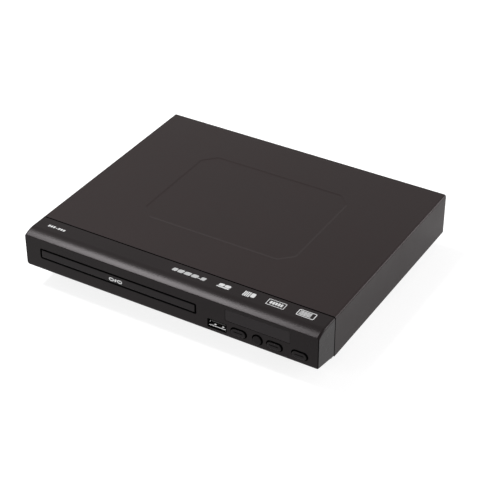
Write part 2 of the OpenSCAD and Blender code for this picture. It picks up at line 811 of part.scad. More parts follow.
module usb_tongue() color(white) {
    block([usb_x - 5.6, y_face + 2.2, usb_z + 0.1], [usb_x + 5.6, front_board_y - 0.5, usb_z + 1.9]);
    block([usb_x - 5.9, front_board_y - 2.6, usb_z - 2.3], [usb_x + 5.9, front_board_y - 0.5, usb_z + 2.3]);
}

// ---------------------------------------------------------------- tray

// Teeth of a rack along Y with a gap at gap_y, pointing +X from its pitch line
function rack_outline(m, gap_y, first, last, back) =
    let(
        p = PI * m,
        w = (p / 2 - backlash) / 2,
        slope = tan(20))
    concat(
        [[-back, gap_y + last * p], [-back, gap_y + first * p]],
        [for (k = [first:last - 1]) for (e = [[-1, -1], [1, -1], [1, 1], [-1, 1]])
            [e.x < 0 ? -1.15 * m : 0.85 * m,
             gap_y + (k + 0.5) * p + e.y * (w - (e.x < 0 ? -1.15 : 0.85) * m * slope)]]);

module tray_corner_hollow(sx, y0, y1) {
    intersection() {
        polygon([[sx * 20, y0], [sx * (tray_w / 2 - 2.2), y0], [sx * (tray_w / 2 - 2.2), y1], [sx * 20, y1]]);
        difference() {
            square(2 * tray_w, center = true);
            translate([0, disc_y]) circle(r = pocket_r + 1.6, $fn = 96);
        }
    }
}

module tray() color(pale_grey) at_loader() difference() {
    union() {
        block([-tray_w / 2, tray_y0, floor_z0], [tray_w / 2, tray_y1, tray_z1]);
        block([-tray_w / 2, tray_y0, tray_z0], [tray_w / 2, tray_y0 + 2.4, tray_z1]);
        for (s = [-1, 1]) translate([s * tray_w / 2, 0, 0]) mirror([s > 0 ? 1 : 0, 0, 0]) {
            block([0, tray_y0, tray_z0], [rail_w, tail_y, floor_z]);
            block([0, tray_y1 - 8, tray_z0], [rail_w, tray_y1, tray_z1]);
            block([0, tray_y1 - 4, floor_z0], [tail_w, tail_y, floor_z + 0.3]);
        }
        upward(floor_z0 - mini_dip, floor_z) translate([0, disc_y]) circle(r = mini_r + 1.2, $fn = 96);
        upward(tray_z0, floor_z0 + 0.2) translate([rack_x, 0])
            polygon(rack_outline(rack_module, drive_at.y, -2, 43, 2.2));
    }
    upward(floor_z, tray_z1 + cut_over) translate([0, disc_y]) circle(r = pocket_r, $fn = 96);
    upward(floor_z - mini_dip, tray_z1 + cut_over) translate([0, disc_y]) circle(r = mini_r, $fn = 96);
    for (s = [-1, 1]) translate([s * tray_w / 2, disc_y, 0])
        block([-grip_reach, -grip_half, floor_z], [grip_reach, grip_half, tray_z1 + cut_over]);
    upward(tray_z0 - cut_over, tray_z1 + cut_over) {
        translate([0, disc_y]) circle(r = slot_r);
        translate([-slot_r, disc_y]) square([2 * slot_r, tray_slot_end - disc_y]);
    }
    for (sx = [-1, 1]) {
        upward(floor_z0 - cut_over, tray_z1 - 1.2) tray_corner_hollow(sx, tray_y0 + 4, disc_y - 30);
        upward(floor_z0 - cut_over, tray_z1 - 1.2) tray_corner_hollow(sx, disc_y + 30, tray_y1 - 3);
    }
}

module tray_door() color(graphite) at_loader() {
    along_y(y_face, tray_y0) translate([0, z_slot]) polygon(round_rect(door_w, door_h, 0.7));
}

// ---------------------------------------------------------------- loader

// Places along the loader's side walls of their outer ribs
function frame_ribs() = [
    for (y = [frame_y0 + 10 : 18 : frame_y1 - 6]) if (abs(y - disc_y) > 9 && abs(y - pivot_y) > 7) y];

module loader_frame() color(black) at_loader() difference() {
    union() {
        for (s = [-1, 1]) translate([s * wall_x, 0, 0]) mirror([s < 0 ? 1 : 0, 0, 0]) {
            block([0, frame_y0, frame_z0], [wall_t, frame_y1, bridge_z]);
            block([-2.2, frame_y0, ledge_top - 1.5], [0.1, frame_y1, ledge_top]);
            block([-2.8, frame_y0 + 3, tray_z1 + pass_gap], [0.1, frame_y0 + 13, tray_z1 + 1.6]);
            block([-2.8, disc_y + 46, tray_z1 + pass_gap], [0.1, disc_y + 56, tray_z1 + 1.6]);
            for (y = frame_ribs())
                block([wall_t - 0.1, y - 0.6, frame_z0 + 1], [wall_t + rib_h, y + 0.6, bridge_z - 1]);
            block([0, disc_y - 7, bridge_z - 5], [bridge_ear, disc_y + 7, bridge_z]);
            block([lift_half + 1.6 - wall_x, pivot_y - 5, pivot_z - 4], [0.1, pivot_y + 5, pivot_z + 4]);
            block([-10, frame_y1 - 12, deck_z], [0.1, frame_y1, deck_top]);
        }
        block([-wall_x, frame_y0, frame_z0], [wall_x, frame_y0 + 2.4, ledge_top - pass_gap]);
        block([-wall_x, frame_y1 - 2.4, frame_z0], [wall_x, frame_y1, ledge_top - pass_gap]);
        block([-wall_x, frame_y0, deck_z], [wall_x, deck_y1, deck_top]);
        block([-wall_x, deck_y1 - 2.2, z_floor + 0.6], [wall_x, deck_y1, deck_top]);
        post(drive_at, post_d, deck_z, gear_z1 + 1);
        post(pulley_at, post_d, deck_z, gear_z1);
    }
    for (s = [-1, 1]) {
        translate([s * lift_half, pivot_y, pivot_z]) rotate([0, s * 90, 0])
            cylinder(d = pivot_d + 2 * run_gap, h = pivot_reach + 0.6);
        for (y = [standoff_front, standoff_rear])
            post([s * standoff_x, y], screw_d + 0.4, deck_z - cut_over, deck_top + cut_over);
        post([s * bridge_screw_x, disc_y], screw_d, bridge_z - 4, bridge_z + cut_over);
    }
    post(drive_at, 2 * (drive_r + 0.85 * gear_module + 0.5), gear_z0 - pass_gap, ledge_top + cut_over);
    post(motor_at, 5, deck_z - cut_over, deck_top + cut_over);
}

module clamp_bridge() color(steel) at_loader() difference() {
    union() {
        block([-wall_x - bridge_ear, disc_y - bridge_half, bridge_z],
              [wall_x + bridge_ear, disc_y + bridge_half, bridge_z + bridge_t]);
        for (s = [-1, 1]) translate([0, disc_y + s * (bridge_half - bridge_t / 2), bridge_z + 1.4])
            cube([2 * wall_x, bridge_t, 2.8], center = true);
    }
    post([0, disc_y], bridge_hole_d, bridge_z - cut_over, bridge_z + 4);
    for (s = [-1, 1]) {
        post([s * bridge_screw_x, disc_y], screw_d + 0.4, bridge_z - cut_over, bridge_z + 4);
        translate([s * 36, disc_y, bridge_z]) linear_extrude(height = 6, center = true)
            polygon(round_rect(20, 18, 4));
    }
}

module clamp_puck() color(white) at_loader() translate([0, disc_y, 0]) rotate_extrude($fn = 64) polygon([
    [3, puck_z0 + 1.8], [8.6, puck_z0 + 1.8], [9.4, puck_z0 + 0.8], [9.4, puck_z0 + 0.3],
    [clamp_d / 2 - 3, puck_z0 + 0.3], [clamp_d / 2 - 3, puck_z0], [clamp_d / 2, puck_z0],
    [clamp_d / 2, puck_z0 + 1], [clamp_d / 2 - 1, puck_z0 + puck_rim_h],
    [puck_neck_d / 2, puck_z0 + puck_rim_h], [puck_neck_d / 2, bridge_z + bridge_t + pass_gap],
    [3, bridge_z + bridge_t + pass_gap]]);

module clamp_cap() color(steel) at_loader() translate([0, disc_y, bridge_z + bridge_t + pass_gap])
    rotate_extrude($fn = 64) polygon([
        [0, 0], [cap_d / 2, 0], [cap_d / 2, 0.9], [cap_d / 2 - 1, 1.3], [10, 1.3], [9, 2.6], [0, 2.6]]);

module loading_motor() color(steel) at_loader() difference() {
    union() {
        intersection() {
            post(motor_at, motor_d, z_floor + 1, deck_z);
            translate([motor_at.x, motor_at.y, 0])
                block([-motor_d / 2, -motor_d * 0.44, 0], [motor_d / 2, motor_d * 0.44, deck_z]);
        }
        post(motor_at, 4.4, deck_z - 0.1, deck_top);
    }
    post(motor_at, 1.5 + 2 * run_gap, z_floor + 4, deck_top + cut_over);
}

// A grooved belt pulley of radius r
module grooved(r, bottom, top) {
    mid = (bottom + top) / 2;
    rotate_extrude($fn = 64) polygon([
        [0, bottom], [r, bottom], [r, mid - belt_t / 2 - 0.25], [r - groove_d, mid - belt_t / 2 - 0.1],
        [r - groove_d, mid + belt_t / 2 + 0.1], [r, mid + belt_t / 2 + 0.25], [r, top], [0, top]]);
}

module motor_pulley() color(brass) at_loader() translate([motor_at.x, motor_at.y, 0]) {
    grooved(motor_pulley_r, pulley_z0, pulley_z1);
    translate([0, 0, z_floor + 4.4]) cylinder(d = 1.5, h = pulley_z1 - z_floor - 4);
}

module drive_belt() color(rubber) at_loader() upward(belt_z - belt_t / 2, belt_z + belt_t / 2) difference() {
    polygon(belt_loop(motor_at, motor_pulley_r - groove_d + belt_gap + belt_t,
                      pulley_at, pulley_r - groove_d + belt_gap + belt_t));
    polygon(belt_loop(motor_at, motor_pulley_r - groove_d + belt_gap,
                      pulley_at, pulley_r - groove_d + belt_gap));
}

module pulley_gear() color(white) at_loader() translate([pulley_at.x, pulley_at.y, 0]) difference() {
    union() {
        grooved(pulley_r, pulley_z0, pulley_z1);
        upward(pulley_z1 - 0.1, gear_z1)
            polygon(gear_outline(gear_module, pulley_teeth, mesh_turn(0, drive_teeth, pulley_teeth)));
    }
    cylinder(d = post_d + 2 * run_gap, h = 2 * z_top);
    for (a = [0:72:288]) rotate([0, 0, a]) post([pulley_r * 0.68, 0], 2.6, 0, pulley_z1 - 0.6);
}

module drive_gear() color(white) at_loader() translate([drive_at.x, drive_at.y, 0]) difference() {
    union() {
        post([0, 0], post_d + 1.4, pulley_z0, gear_z0 + 0.1);
        upward(gear_z0, gear_z1) polygon(gear_outline(gear_module, drive_teeth));
        upward(gear_z1 - 0.1, pinion_z1) polygon(gear_outline(rack_module, pinion_teeth));
    }
    cylinder(d = post_d + 2 * run_gap, h = gear_z1 + 1.2);
}

module cam_slider() color(white) at_loader() difference() {
    union() {
        block([slider_x0, slider_y1 - slider_t, slider_z0], [slider_x1, slider_y1, slider_z1]);
        block([slider_x0, slider_y1 - slider_t - slider_ledge, deck_top + pass_gap],
              [slider_x1, slider_y1, slider_z1]);
    }
    along_y(slider_y1 - slider_t - cut_over, slider_y1 + cut_over) for (s = [-1, 1])
        slot_between([s * cam_pin_x + 0.6, pivot_z - pin_drop - 0.35],
                     [s * cam_pin_x - cam_travel - 0.6, pivot_z + 0.35], cam_pin_d + 0.8);
}

module loader_screws() color(steel) at_loader() for (s = [-1, 1]) {
    for (y = [standoff_front, standoff_rear]) screw_down([s * standoff_x, y], deck_top, 7);
    screw_down([s * bridge_screw_x, disc_y], bridge_z + bridge_t, 4.4);
}

// ---------------------------------------------------------------- traverse

module lift_frame() color(black) lowered() difference() {
    union() {
        difference() {
            block([-lift_half, lift_y0, lift_z0], [lift_half, lift_y1, lift_z1]);
            block([-lift_half + lift_wall, lift_y0 + lift_wall - 0.5, lift_z0 - cut_over],
                  [lift_half - lift_wall, lift_y1 - lift_wall, lift_z1 + cut_over]);
        }
        for (s = [-1, 1], y = damper_y) translate([s * damper_x, y, 0]) difference() {
            block([s < 0 ? -8 : -5, -5, lift_z0], [s < 0 ? 5 : 8, 5, plate_z - 1.1]);
            post([0, 0], 1.8, lift_z0 - cut_over, plate_z);
        }
        for (s = [-1, 1]) {
            translate([s * (lift_half - 0.1), pivot_y, pivot_z]) rotate([0, s * 90, 0])
                cylinder(d = pivot_d, h = pivot_reach + 0.1);
            bar_y([s * cam_pin_x, pivot_z], cam_pin_d, pin_y, lift_y0 + 0.1);
        }
    }
}

// A rod clip on the plate, open upwards
module rod_clip(x, y) {
    translate([x, y, 0]) difference() {
        block([-3, -2, plate_top - 0.1], [3, 2, rod_z + rod_d / 2 + 0.8]);
        bar_y([0, rod_z], rod_d + 2 * run_gap, -3, 3);
    }
}

module traverse_plate() color(steel) lowered() difference() {
    union() {
        block([-plate_half, plate_y0, plate_z], [plate_half, plate_y1, plate_top]);
        for (s = [-1, 1], y = [rod_y0 + 1, rod_y1 - 1]) rod_clip(s * rod_x, y);
        post(sled_at, 1.6, plate_z, sled_z3);
    }
    block([-well_half, well_y0, plate_z - cut_over], [well_half, well_y1, plate_top + cut_over]);
    post([0, disc_y], 8.4, plate_z - cut_over, plate_top + cut_over);
    for (s = [-1, 1], y = damper_y)
        post([s * damper_x, y], damper_neck + 0.2, plate_z - cut_over, plate_top + cut_over);
    post(sled_motor_at, 3.4, plate_z - cut_over, plate_top + cut_over);
}

module dampers() color(rubber) lowered() for (s = [-1, 1], y = damper_y) translate([s * damper_x, y, 0])
    rotate_extrude() polygon([
        [1.3, plate_z - 1.1], [damper_d / 2, plate_z - 1.1], [damper_d / 2, plate_z - 0.05],
        [damper_neck / 2, plate_z - 0.05], [damper_neck / 2, plate_top + 0.05],
        [damper_d / 2, plate_top + 0.05], [damper_d / 2, plate_top + 1.2], [1.3, plate_top + 1.2]]);

module damper_screws() color(steel) lowered() for (s = [-1, 1], y = damper_y) {
    post([s * damper_x, y], 1.7, lift_z0 + 0.6, plate_top + 1.3);
    post([s * damper_x, y], 6, plate_top + 1.2, plate_top + 2);
}

module spindle_motor() color(steel) lowered() difference() {
    union() {
        post([0, disc_y], 8.2, lift_z0 + 0.4, plate_top);
        post([0, disc_y], 23, plate_top, rotor_z0 - pass_gap);
    }
    post([0, disc_y], shaft_d + 2 * run_gap, lift_z0 + 1.6, rotor_z0 + cut_over);
}

module spindle_rotor() color(steel) lowered() {
    post([0, disc_y], 2 * rotor_r, rotor_z0, table_z0);
    post([0, disc_y], shaft_d, lift_z0 + 2, seat_z - 1);
}

module turntable() color(black) lowered() translate([0, disc_y, 0]) difference() {
    union() {
        post([0, 0], turntable_d, table_z0, seat_z - 0.3);
        translate([0, 0, seat_z - 0.4]) cylinder(r1 = 7.4, r2 = 6.6, h = cone_h + 0.4);
    }
    post([0, 0], shaft_d, table_z0 - cut_over, seat_z - 1);
}

module turntable_ring() color(rubber) lowered() translate([0, disc_y, seat_z - 0.3]) difference() {
    cylinder(r = turntable_d / 2 - 0.5, h = 0.3);
    translate([0, 0, -cut_over]) cylinder(r = turntable_d / 2 - 4, h = 3);
}

module guide_rods() color(steel) lowered()
    for (s = [-1, 1]) bar_y([s * rod_x, rod_z], rod_d, rod_y0 - 1.6, rod_y1 + 1.4);

module pickup_body() color(zinc) lowered() difference() {
    union() {
        block([3.5 - rod_x, pickup_front, pickup_z0], [rod_x - 3.5, pickup_back, rod_z + 1.6]);
        block([-16, pickup_front + 0.6, rod_z], [16, pickup_back - 2, pickup_z1]);
        for (y = [pickup_front, pickup_back - 6])
            block([-rod_x - 3.1, y, rod_z - 2.6], [rod_x + 3.1, y + 6, rod_z + 2.6]);
        block([-rod_x - 3.1, pickup_front, rod_z - 2.6], [1.5 - rod_x, pickup_back, rod_z - 1]);
        block([sled_rack_x + 0.7, pickup_back - 5, sled_z0], [-rod_x - 2.5, pickup_back - 1, sled_z1]);
        upward(sled_z0, sled_z1) translate([sled_rack_x, 0]) mirror([1, 0])
            polygon(rack_outline(gear_module, sled_at.y, -15, 2, 2.4));
    }
    bar_y([-rod_x, rod_z], rod_d + 2 * run_gap, pickup_front - cut_over, pickup_back + cut_over);
    block([rod_x - 2.4, pickup_front - cut_over, rod_z - rod_d / 2 - 0.15],
          [rod_x + 5, pickup_back + cut_over, rod_z + rod_d / 2 + 0.15]);
    post([0, disc_y], 2 * rotor_r + 2, pickup_z0 - cut_over, pickup_z1 + cut_over);
    block([-9.4, lens_y - 6, pickup_z1 - 3.4], [9.4, lens_y + 6, pickup_z1 + cut_over]);
}

module lens_holder() color(black) lowered() difference() {
    union() {
        block([-5.6, lens_y - 5, pickup_z1 - 2.6], [5.6, lens_y + 5, lens_top - 1]);
        post([0, lens_y], 7.6, lens_top - 1.2, lens_top - 0.3);
    }
    post([0, lens_y], 5.2, lens_top - 1.6, lens_top + cut_over);
}

module objective_lens() color(lens_blue) lowered() translate([0, lens_y, lens_top - lens_t]) intersection() {
    cylinder(d = lens_d, h = lens_t);
    translate([0, 0, lens_t - lens_r]) sphere(r = lens_r);
}

module sled_motor() color(steel) lowered() difference() {
    union() {
        post(sled_motor_at, sled_motor_d, pickup_z0 - 3.6, plate_z);
        post(sled_motor_at, 3.2, plate_z - 0.1, plate_top);
    }
    post(sled_motor_at, 1.5 + 2 * run_gap, pickup_z0, plate_top + cut_over);
}

module sled_pinion() color(brass) lowered() translate([sled_motor_at.x, sled_motor_at.y, 0]) {
    post([0, 0], 1.5, pickup_z0 + 0.4, sled_z3);
    turn = mesh_turn(sled_dir, sled_big, sled_pinion_teeth);
    upward(sled_z2, sled_z3) polygon(gear_outline(gear_module, sled_pinion_teeth, turn));
}

module sled_gear() color(white) lowered() translate([sled_at.x, sled_at.y, 0]) difference() {
    union() {
        upward(sled_z0, sled_z2 + 0.1) polygon(gear_outline(gear_module, sled_small));
        upward(sled_z2, sled_z3) polygon(gear_outline(gear_module, sled_big));
    }
    cylinder(d = 1.6 + 2 * run_gap, h = 2 * z_top);
}

// ---------------------------------------------------------------- rear boards

module board(x0, x1, y0, posts) {
    difference() {
        block([x0, y0, board_z], [x1, board_back, board_top]);
        for (p = posts) post(p, screw_d + 0.4, board_z - cut_over, board_top + cut_over);
    }
}

module main_board() color(board_green) board(main_x0, main_x1, main_y0, board_posts());
module power_board() color(board_brown) board(power_x0, power_x1, power_y0, board_posts());

module board_screws() color(steel) {
    for (p = board_posts()) screw_down(p, board_top, 5);
    for (x = boss_x) translate([x, front_board_y + board_t, boss_z]) rotate([-90, 0, 0])
        screw_down([0, 0], 0, 6);
}

// A flat part on the main board
module chip(at, size) {
    translate([at.x, at.y, board_top + size.z / 2]) cube(size, center = true);
}

module board_components() color(black) {
    mid = (main_x0 + main_x1) / 2;
    chip([mid - 4, main_y0 + 26], [20, 20, 1.6]);
    chip([mid + 13, main_y0 + 24], [10, 14, 1.2]);
    chip([mid - 8, main_y0 + 48], [12, 8, 1.6]);
    chip([mid + 10, main_y0 + 46], [8, 6, 1.4]);
    chip([mid - 5, main_y0 + 6], [20, 5, 3]);
    chip([mid + 11, main_y0 + 6], [8, 6, 5]);
    for (i = [0:2]) post([main_x0 + 8 + 8 * i, main_y0 + 60], 5, board_top, board_top + 7);
    translate([window_x - 20, front_board_y + board_t, front_board_z0 + 3]) block([-9, 0, 0], [9, 3, 4]);
}

module rca_block() color(black) {
    difference() {
        union() {
            block([jack_x[0] - 5, panel_y - panel_t - 12, board_top],
                  [jack_x[2] + 5, panel_y - panel_t, jack_z + 6]);
            for (x = jack_x) bar_y([x, jack_z], jack_collar_d, panel_y - panel_t - 0.1, panel_y + 1);
        }
        for (x = jack_x) bar_y([x, jack_z], jack_d - 0.6, panel_y - 6, panel_y + 4);
    }
}

module rca_shells() color(brass) for (x = jack_x) difference() {
    union() {
        bar_y([x, jack_z], jack_d - 0.6, panel_y - 6, y_back + 1);
        bar_y([x, jack_z], jack_d, panel_y + 1, y_back + jack_reach);
    }
    bar_y([x, jack_z], 3.4, panel_y - 4, y_back + jack_reach + cut_over);
}

module hdmi_socket() color(steel) {
    difference() {
        block([hdmi_x - hdmi_w / 2, board_back - 10, board_top],
              [hdmi_x + hdmi_w / 2, panel_y + 0.6, board_top + hdmi_h]);
        along_y(board_back - 8, panel_y + 2) translate([hdmi_x, board_top + hdmi_h / 2])
            polygon([[-6.9, 2.2], [-6.9, -0.2], [-5.2, -2.2], [5.2, -2.2], [6.9, -0.2], [6.9, 2.2]]);
    }
    block([hdmi_x - 5.6, board_back - 8.5, board_top + hdmi_h / 2],
          [hdmi_x + 5.6, panel_y - 1, board_top + hdmi_h / 2 + 1]);
}

module mains_inlet() color(black) {
    difference() {
        union() {
            block([inlet_x - inlet_w / 2, panel_y - 17, inlet_z - inlet_h / 2],
                  [inlet_x + inlet_w / 2, panel_y + 0.8, inlet_z + inlet_h / 2]);
            block([inlet_x - 7, panel_y - 16, board_top],
                  [inlet_x + 7, panel_y - 4, inlet_z - inlet_h / 2 + 0.1]);
        }
        along_y(panel_y - 12, panel_y + 2) translate([inlet_x, inlet_z]) {
            for (s = [-1, 1]) translate([s * inlet_pitch / 2, 0]) circle(d = 8.2);
            square([inlet_pitch, 6.8], center = true);
        }
    }
    for (s = [-1, 1]) bar_y([inlet_x + s * inlet_pitch / 2, inlet_z], 2.4, panel_y - 12.5, panel_y - 1.6);
}

module power_components() color(film_blue) {
    mid = (power_x0 + power_x1) / 2;
    post([mid - 7, power_y0 + 54], 12, board_top, board_top + 18);
    for (y = [14, 24]) post([mid + 8, power_y0 + y], 8, board_top, board_top + 12);
    post([mid - 9, power_y0 + 18], 6.4, board_top, board_top + 11);
    translate([mid - 2, power_y0 + 34, board_top]) {
        block([-10, -6, 0], [10, 6, 4]);
        block([-8, -8, 3.9], [8, 8, 12]);
        block([-10, -6, 11.9], [10, 6, 14]);
    }
    translate([mid + 8, power_y0 + 52, board_top]) block([-3.5, -7, 0], [3.5, 7, 11]);
    bar_y([mid + 1, board_top + 2.5], 5, power_y0 + 64, power_y0 + 74);
}

// Flat cables that lie between the boards, as ribbons of one thickness
module ribbon(path, x, w, t) {
    n = len(path) - 1;
    translate([x, 0, 0]) along_x(w) polygon(concat(
        path, [for (i = [n:-1:0]) path[i] + [0, t]]));
}

module ribbon_cables() color(ivory) {
    mid = (main_x0 + main_x1) / 2;
    high = front_board_z0 + 4;
    low = z_floor + 2.2;
    ribbon([[front_board_y + board_t + 3, high], [y_cover + 6, high], [y_cover + 14, low],
            [main_y0 - 12, low], [main_y0 - 2, board_top + 1], [main_y0 + 3.5, board_top + 1]],
           mid - 6, 16, 0.35);
}

top_cover();
bottom_chassis();
rear_panel();
front_bezel();
display_window();
rubber_feet();
standoffs();
cover_screws();
loader_screws();
board_screws();
loader_frame();
clamp_bridge();
clamp_puck();
clamp_cap();
tray();
tray_door();
loading_motor();
motor_pulley();
drive_belt();
pulley_gear();
drive_gear();
cam_slider();
lift_frame();
traverse_plate();
dampers();
damper_screws();
spindle_motor();
spindle_rotor();
turntable();
turntable_ring();
guide_rods();
pickup_body();
lens_holder();
objective_lens();
sled_motor();
sled_pinion();
sled_gear();
front_board();
display_module();
ir_receiver();
usb_socket();
usb_tongue();
tact_switches();
eject_button();
eject_plunger();
round_button();
round_plunger();
stop_button();
stop_plunger();
power_button();
power_plunger();
main_board();
board_components();
rca_block();
rca_shells();
hdmi_socket();
power_board();
power_components();
mains_inlet();
ribbon_cables();
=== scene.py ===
import json
import math

import bmesh
import bpy
from mathutils import Matrix, Vector


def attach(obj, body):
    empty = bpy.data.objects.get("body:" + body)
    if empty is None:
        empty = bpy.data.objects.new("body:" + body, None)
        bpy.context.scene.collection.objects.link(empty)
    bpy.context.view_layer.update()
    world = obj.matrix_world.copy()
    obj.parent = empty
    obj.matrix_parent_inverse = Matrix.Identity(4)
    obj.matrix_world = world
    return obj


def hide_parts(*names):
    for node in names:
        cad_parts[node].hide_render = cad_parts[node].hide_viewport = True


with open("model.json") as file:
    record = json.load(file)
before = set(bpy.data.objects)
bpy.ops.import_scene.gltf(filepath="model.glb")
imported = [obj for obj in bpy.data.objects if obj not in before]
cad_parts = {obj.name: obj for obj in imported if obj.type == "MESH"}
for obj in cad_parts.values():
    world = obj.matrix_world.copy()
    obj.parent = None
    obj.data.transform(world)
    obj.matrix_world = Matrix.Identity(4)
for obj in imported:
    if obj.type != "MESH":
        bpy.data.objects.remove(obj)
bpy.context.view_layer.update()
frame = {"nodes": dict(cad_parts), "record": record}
nodes = frame["nodes"]

MM = 0.001

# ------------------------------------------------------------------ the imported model's sizes, in mm
HALF_W = 111.5              # half the casing's width
Z_SIDE, Z_TOP = 11.2, 42.0  # the cover's lower edge and its top
Y_FACE, Y_WALL = -94.0, -91.8   # the front moulding's face and the back of its front wall
Y_SEAM = -73.4              # the moulding's rear end
Y_COVER, Y_BACK = -72.4, 90.0   # the cover's front and rear edges
SHEET, FOLD_R = 0.8, 1.6    # the cover's thickness and its folds' outer radius
ROLL_R, ROLL_D = 19.0, 9.5  # radius and depth of the roll between the moulding's face and top
WALL = 2.2                  # the moulding's wall
CHIN_RISE = 3.9             # how far its underside rises towards the face
CHIN_A = math.atan(CHIN_RISE / (Y_SEAM - Y_FACE))
TRAY_X, SLOT_Z, SLOT_W, SLOT_H = -37.9, 28.4, 121.8, 7.1
DOOR_W, DOOR_H, DOOR_BACK = 120.8, 6.1, -91.6
WINDOW_X, WINDOW_Z, WINDOW_W, WINDOW_H, WINDOW_T = 68.1, 32.2, 46.8, 9.0, 1.2
BUTTONS = {"eject": 54.8, "round": 68.4, "stop": 80.6, "power": 98.4}
BUTTON_Z, PILL_W, PILL_H, ROUND_D = 21.8, 10.4, 4.6, 6.2
PROUD, CAP_GAP, CAP_LIP = 1.0, 0.7, 1.2     # a cap's height, its gap and its flange's width
FLANGE_Y, PLUNGER_Y, PLUNGER_D = -91.5, -87.0, 3.4
USB_X, USB_Z, USB_W, USB_H, USB_Y0, USB_Y1 = 38.8, 21.5, 13.1, 5.6, -93.75, -82.2
SCREW_X, SCREW_Z, SCREW_HOLE_R = (-97.5, 12.1, 97.5), 37.6, 1.7
JACKS, JACK_Z, PANEL_Y = (33.4, 44.0, 54.6), 24.2, 89.2

# ------------------------------------------------------------------ the scene's own detail, in mm
THROUGH = 1                 # how far a cutter runs past a face
FLAT = 0.01                 # a half circle's end keeps this much straight, so its points don't meet
END_R, CREASE_R, CHIN_R = 0.5, 0.4, 2.0     # edges of the moulding: its ends, brow and chin
END_TURNS = (0, 15, 30, 45, 55, 65, 75, 83, 90)     # the degrees at which an end's edge has a ring
HOLLOW_R = 0.5              # brow and chin of the moulding's inside
CORNER_R = 0.8              # corners of the slot and of the window's recess
SLOT_FLARE, USB_FLARE, CAP_FLARE = 0.55, 0.3, 0.2   # chamfers where the holes meet the face
WINDOW_LEDGE_W, WINDOW_LEDGE_H = 5, 3       # how much the hole is smaller than the pane
PANE_GAP, PANE_R, PANE_EDGE_R, PANE_SINK = 0.3, 0.7, 0.2, 0.05
USB_HOLE_GAP, USB_HOLE_R = 0.3, 0.6
DOOR_CORNER_R, DOOR_EDGE_R, CAP_EDGE_R = 0.7, 0.65, 0.55
GROOVE_H, GROOVE_DEPTH = 0.6, 0.4           # the line across a long cap
GROOVE_RISE, GROOVE_SHORT = 0.4, 3.8        # its height over the cap's middle, and the cap's rest
FLANGE_T, FLANGE_R, OVERLAP = 0.9, 0.15, 0.1
TONGUE_GAP, TONGUE_T, SIDE_TONGUE_T = 0.3, 1.6, 1.4     # the moulding's tongues in the cover
TONGUE_CORNER, TONGUE_Z0, TONGUE_REACH, TONGUE_R = 3, 20.5, 3.4, 0.3
EMBOSS_W, EMBOSS_D, EMBOSS_CUT = 117, 89, 9             # the panel pressed into the cover
EMBOSS_SHIFT, EMBOSS_DEPTH, EMBOSS_SLOPE, EMBOSS_STEPS = -1.0, 0.22, 2.2, 6
HEM_H, HEM_R, HEM_EDGE_R, LIP_H, LIP_DROP, LIP_R = 4, 0.38, 0.1, 8, 4.2, 0.3
PRINT_T, PRINT_ROOT = 0.02, 0.1             # how far a print stands out, and how deep it is set
USB_RISE, USB_SHEET, USB_BACK = 1.1, 0.35, 0.5      # the shell's floor over the hole's; its walls
SHELL_R, CAVITY_R, SPRING_R = 0.5, 0.3, 0.1
CONTACT_W, CONTACT_T, CONTACT_R, CONTACT_RISE = 1.0, 0.12, 0.04, 0.08
CONTACT_Y = (-91.6, -84.0)
INSULATOR = ((4.6, 0.9), (4.9, 1.05), (4.9, 1.5), (4.2, 1.6))   # radius, distance past the panel


# ------------------------------------------------------------------ drawing aids
def arc(cx, cy, r, start, stop, n):
    """Points along an arc, angles in degrees."""
    turns = [math.radians(start + (stop - start) * i / n) for i in range(n + 1)]
    return [(cx + r * math.cos(t), cy + r * math.sin(t)) for t in turns]


def full_turn(r, n):
    """Points of a circle, the first not repeated."""
    return arc(0, 0, r, 0, 360 - 360 / n, n - 1)


def round_rect(w, h, r, n=6):
    """Outline of a rectangle with round corners, as a function of its inset."""
    def outline(inset=0.0):
        a, b, c = w / 2 - inset, h / 2 - inset, max(r - inset, 0.02)
        return (arc(a - c, b - c, c, 0, 90, n) + arc(c - a, b - c, c, 90, 180, n)
                + arc(c - a, c - b, c, 180, 270, n) + arc(a - c, c - b, c, 270, 360, n))
    return outline


def circle(r, n=48):
    """Outline of a circle, as a function of its inset."""
    return lambda inset=0.0: full_turn(r - inset, n)


def link(name, data):
    """A new object for some data, linked into the scene."""
    obj = bpy.data.objects.new(name, data)
    bpy.context.scene.collection.objects.link(obj)
    return obj


def solid(name, rings, axis, at=(0.0, 0.0)):
    """A closed solid through rings of outline points, each (level, points), along one axis."""
    verts = []
    for level, points in rings:
        for a, b in points:
            a, b = a + at[0], b + at[1]
            verts.append({"x": (level, a, b), "y": (a, level, b), "z": (a, b, level)}[axis])
    n = len(rings[0][1])
    faces = [list(range(n)), list(range(len(verts) - n, len(verts)))]
    for k in range(len(rings) - 1):
        for i in range(n):
            j = (i + 1) % n
            faces.append([k * n + i, k * n + j, (k + 1) * n + j, (k + 1) * n + i])
    mesh = bpy.data.meshes.new(name)
    mesh.from_pydata([[c * MM for c in v] for v in verts], [], faces)
    bm = bmesh.new()
    bm.from_mesh(mesh)
    bmesh.ops.recalc_face_normals(bm, faces=bm.faces)
    bm.to_mesh(mesh)
    bm.free()
    return link(name, mesh)


def prism(name, points, lo, hi, axis, at=(0.0, 0.0)):
    """A straight solid between two levels."""
    return solid(name, [(lo, points), (hi, points)], axis, at)


def lathe(name, profile, at, axis, n):
    """A solid of revolution from (radius, level) points."""
    return solid(name, [(level, full_turn(max(r, 0.001), n)) for r, level in profile], axis, at)


def rim(level, inward, radius, n=4):
    """Levels and insets of a rounded edge at level, the solid lying on the side inward of it."""
    turns = [math.radians(90 * i / n) for i in range(n, -1, -1)]
    return [(level + inward * radius * (1 - math.sin(t)), radius * (1 - math.cos(t)))
            for t in turns]


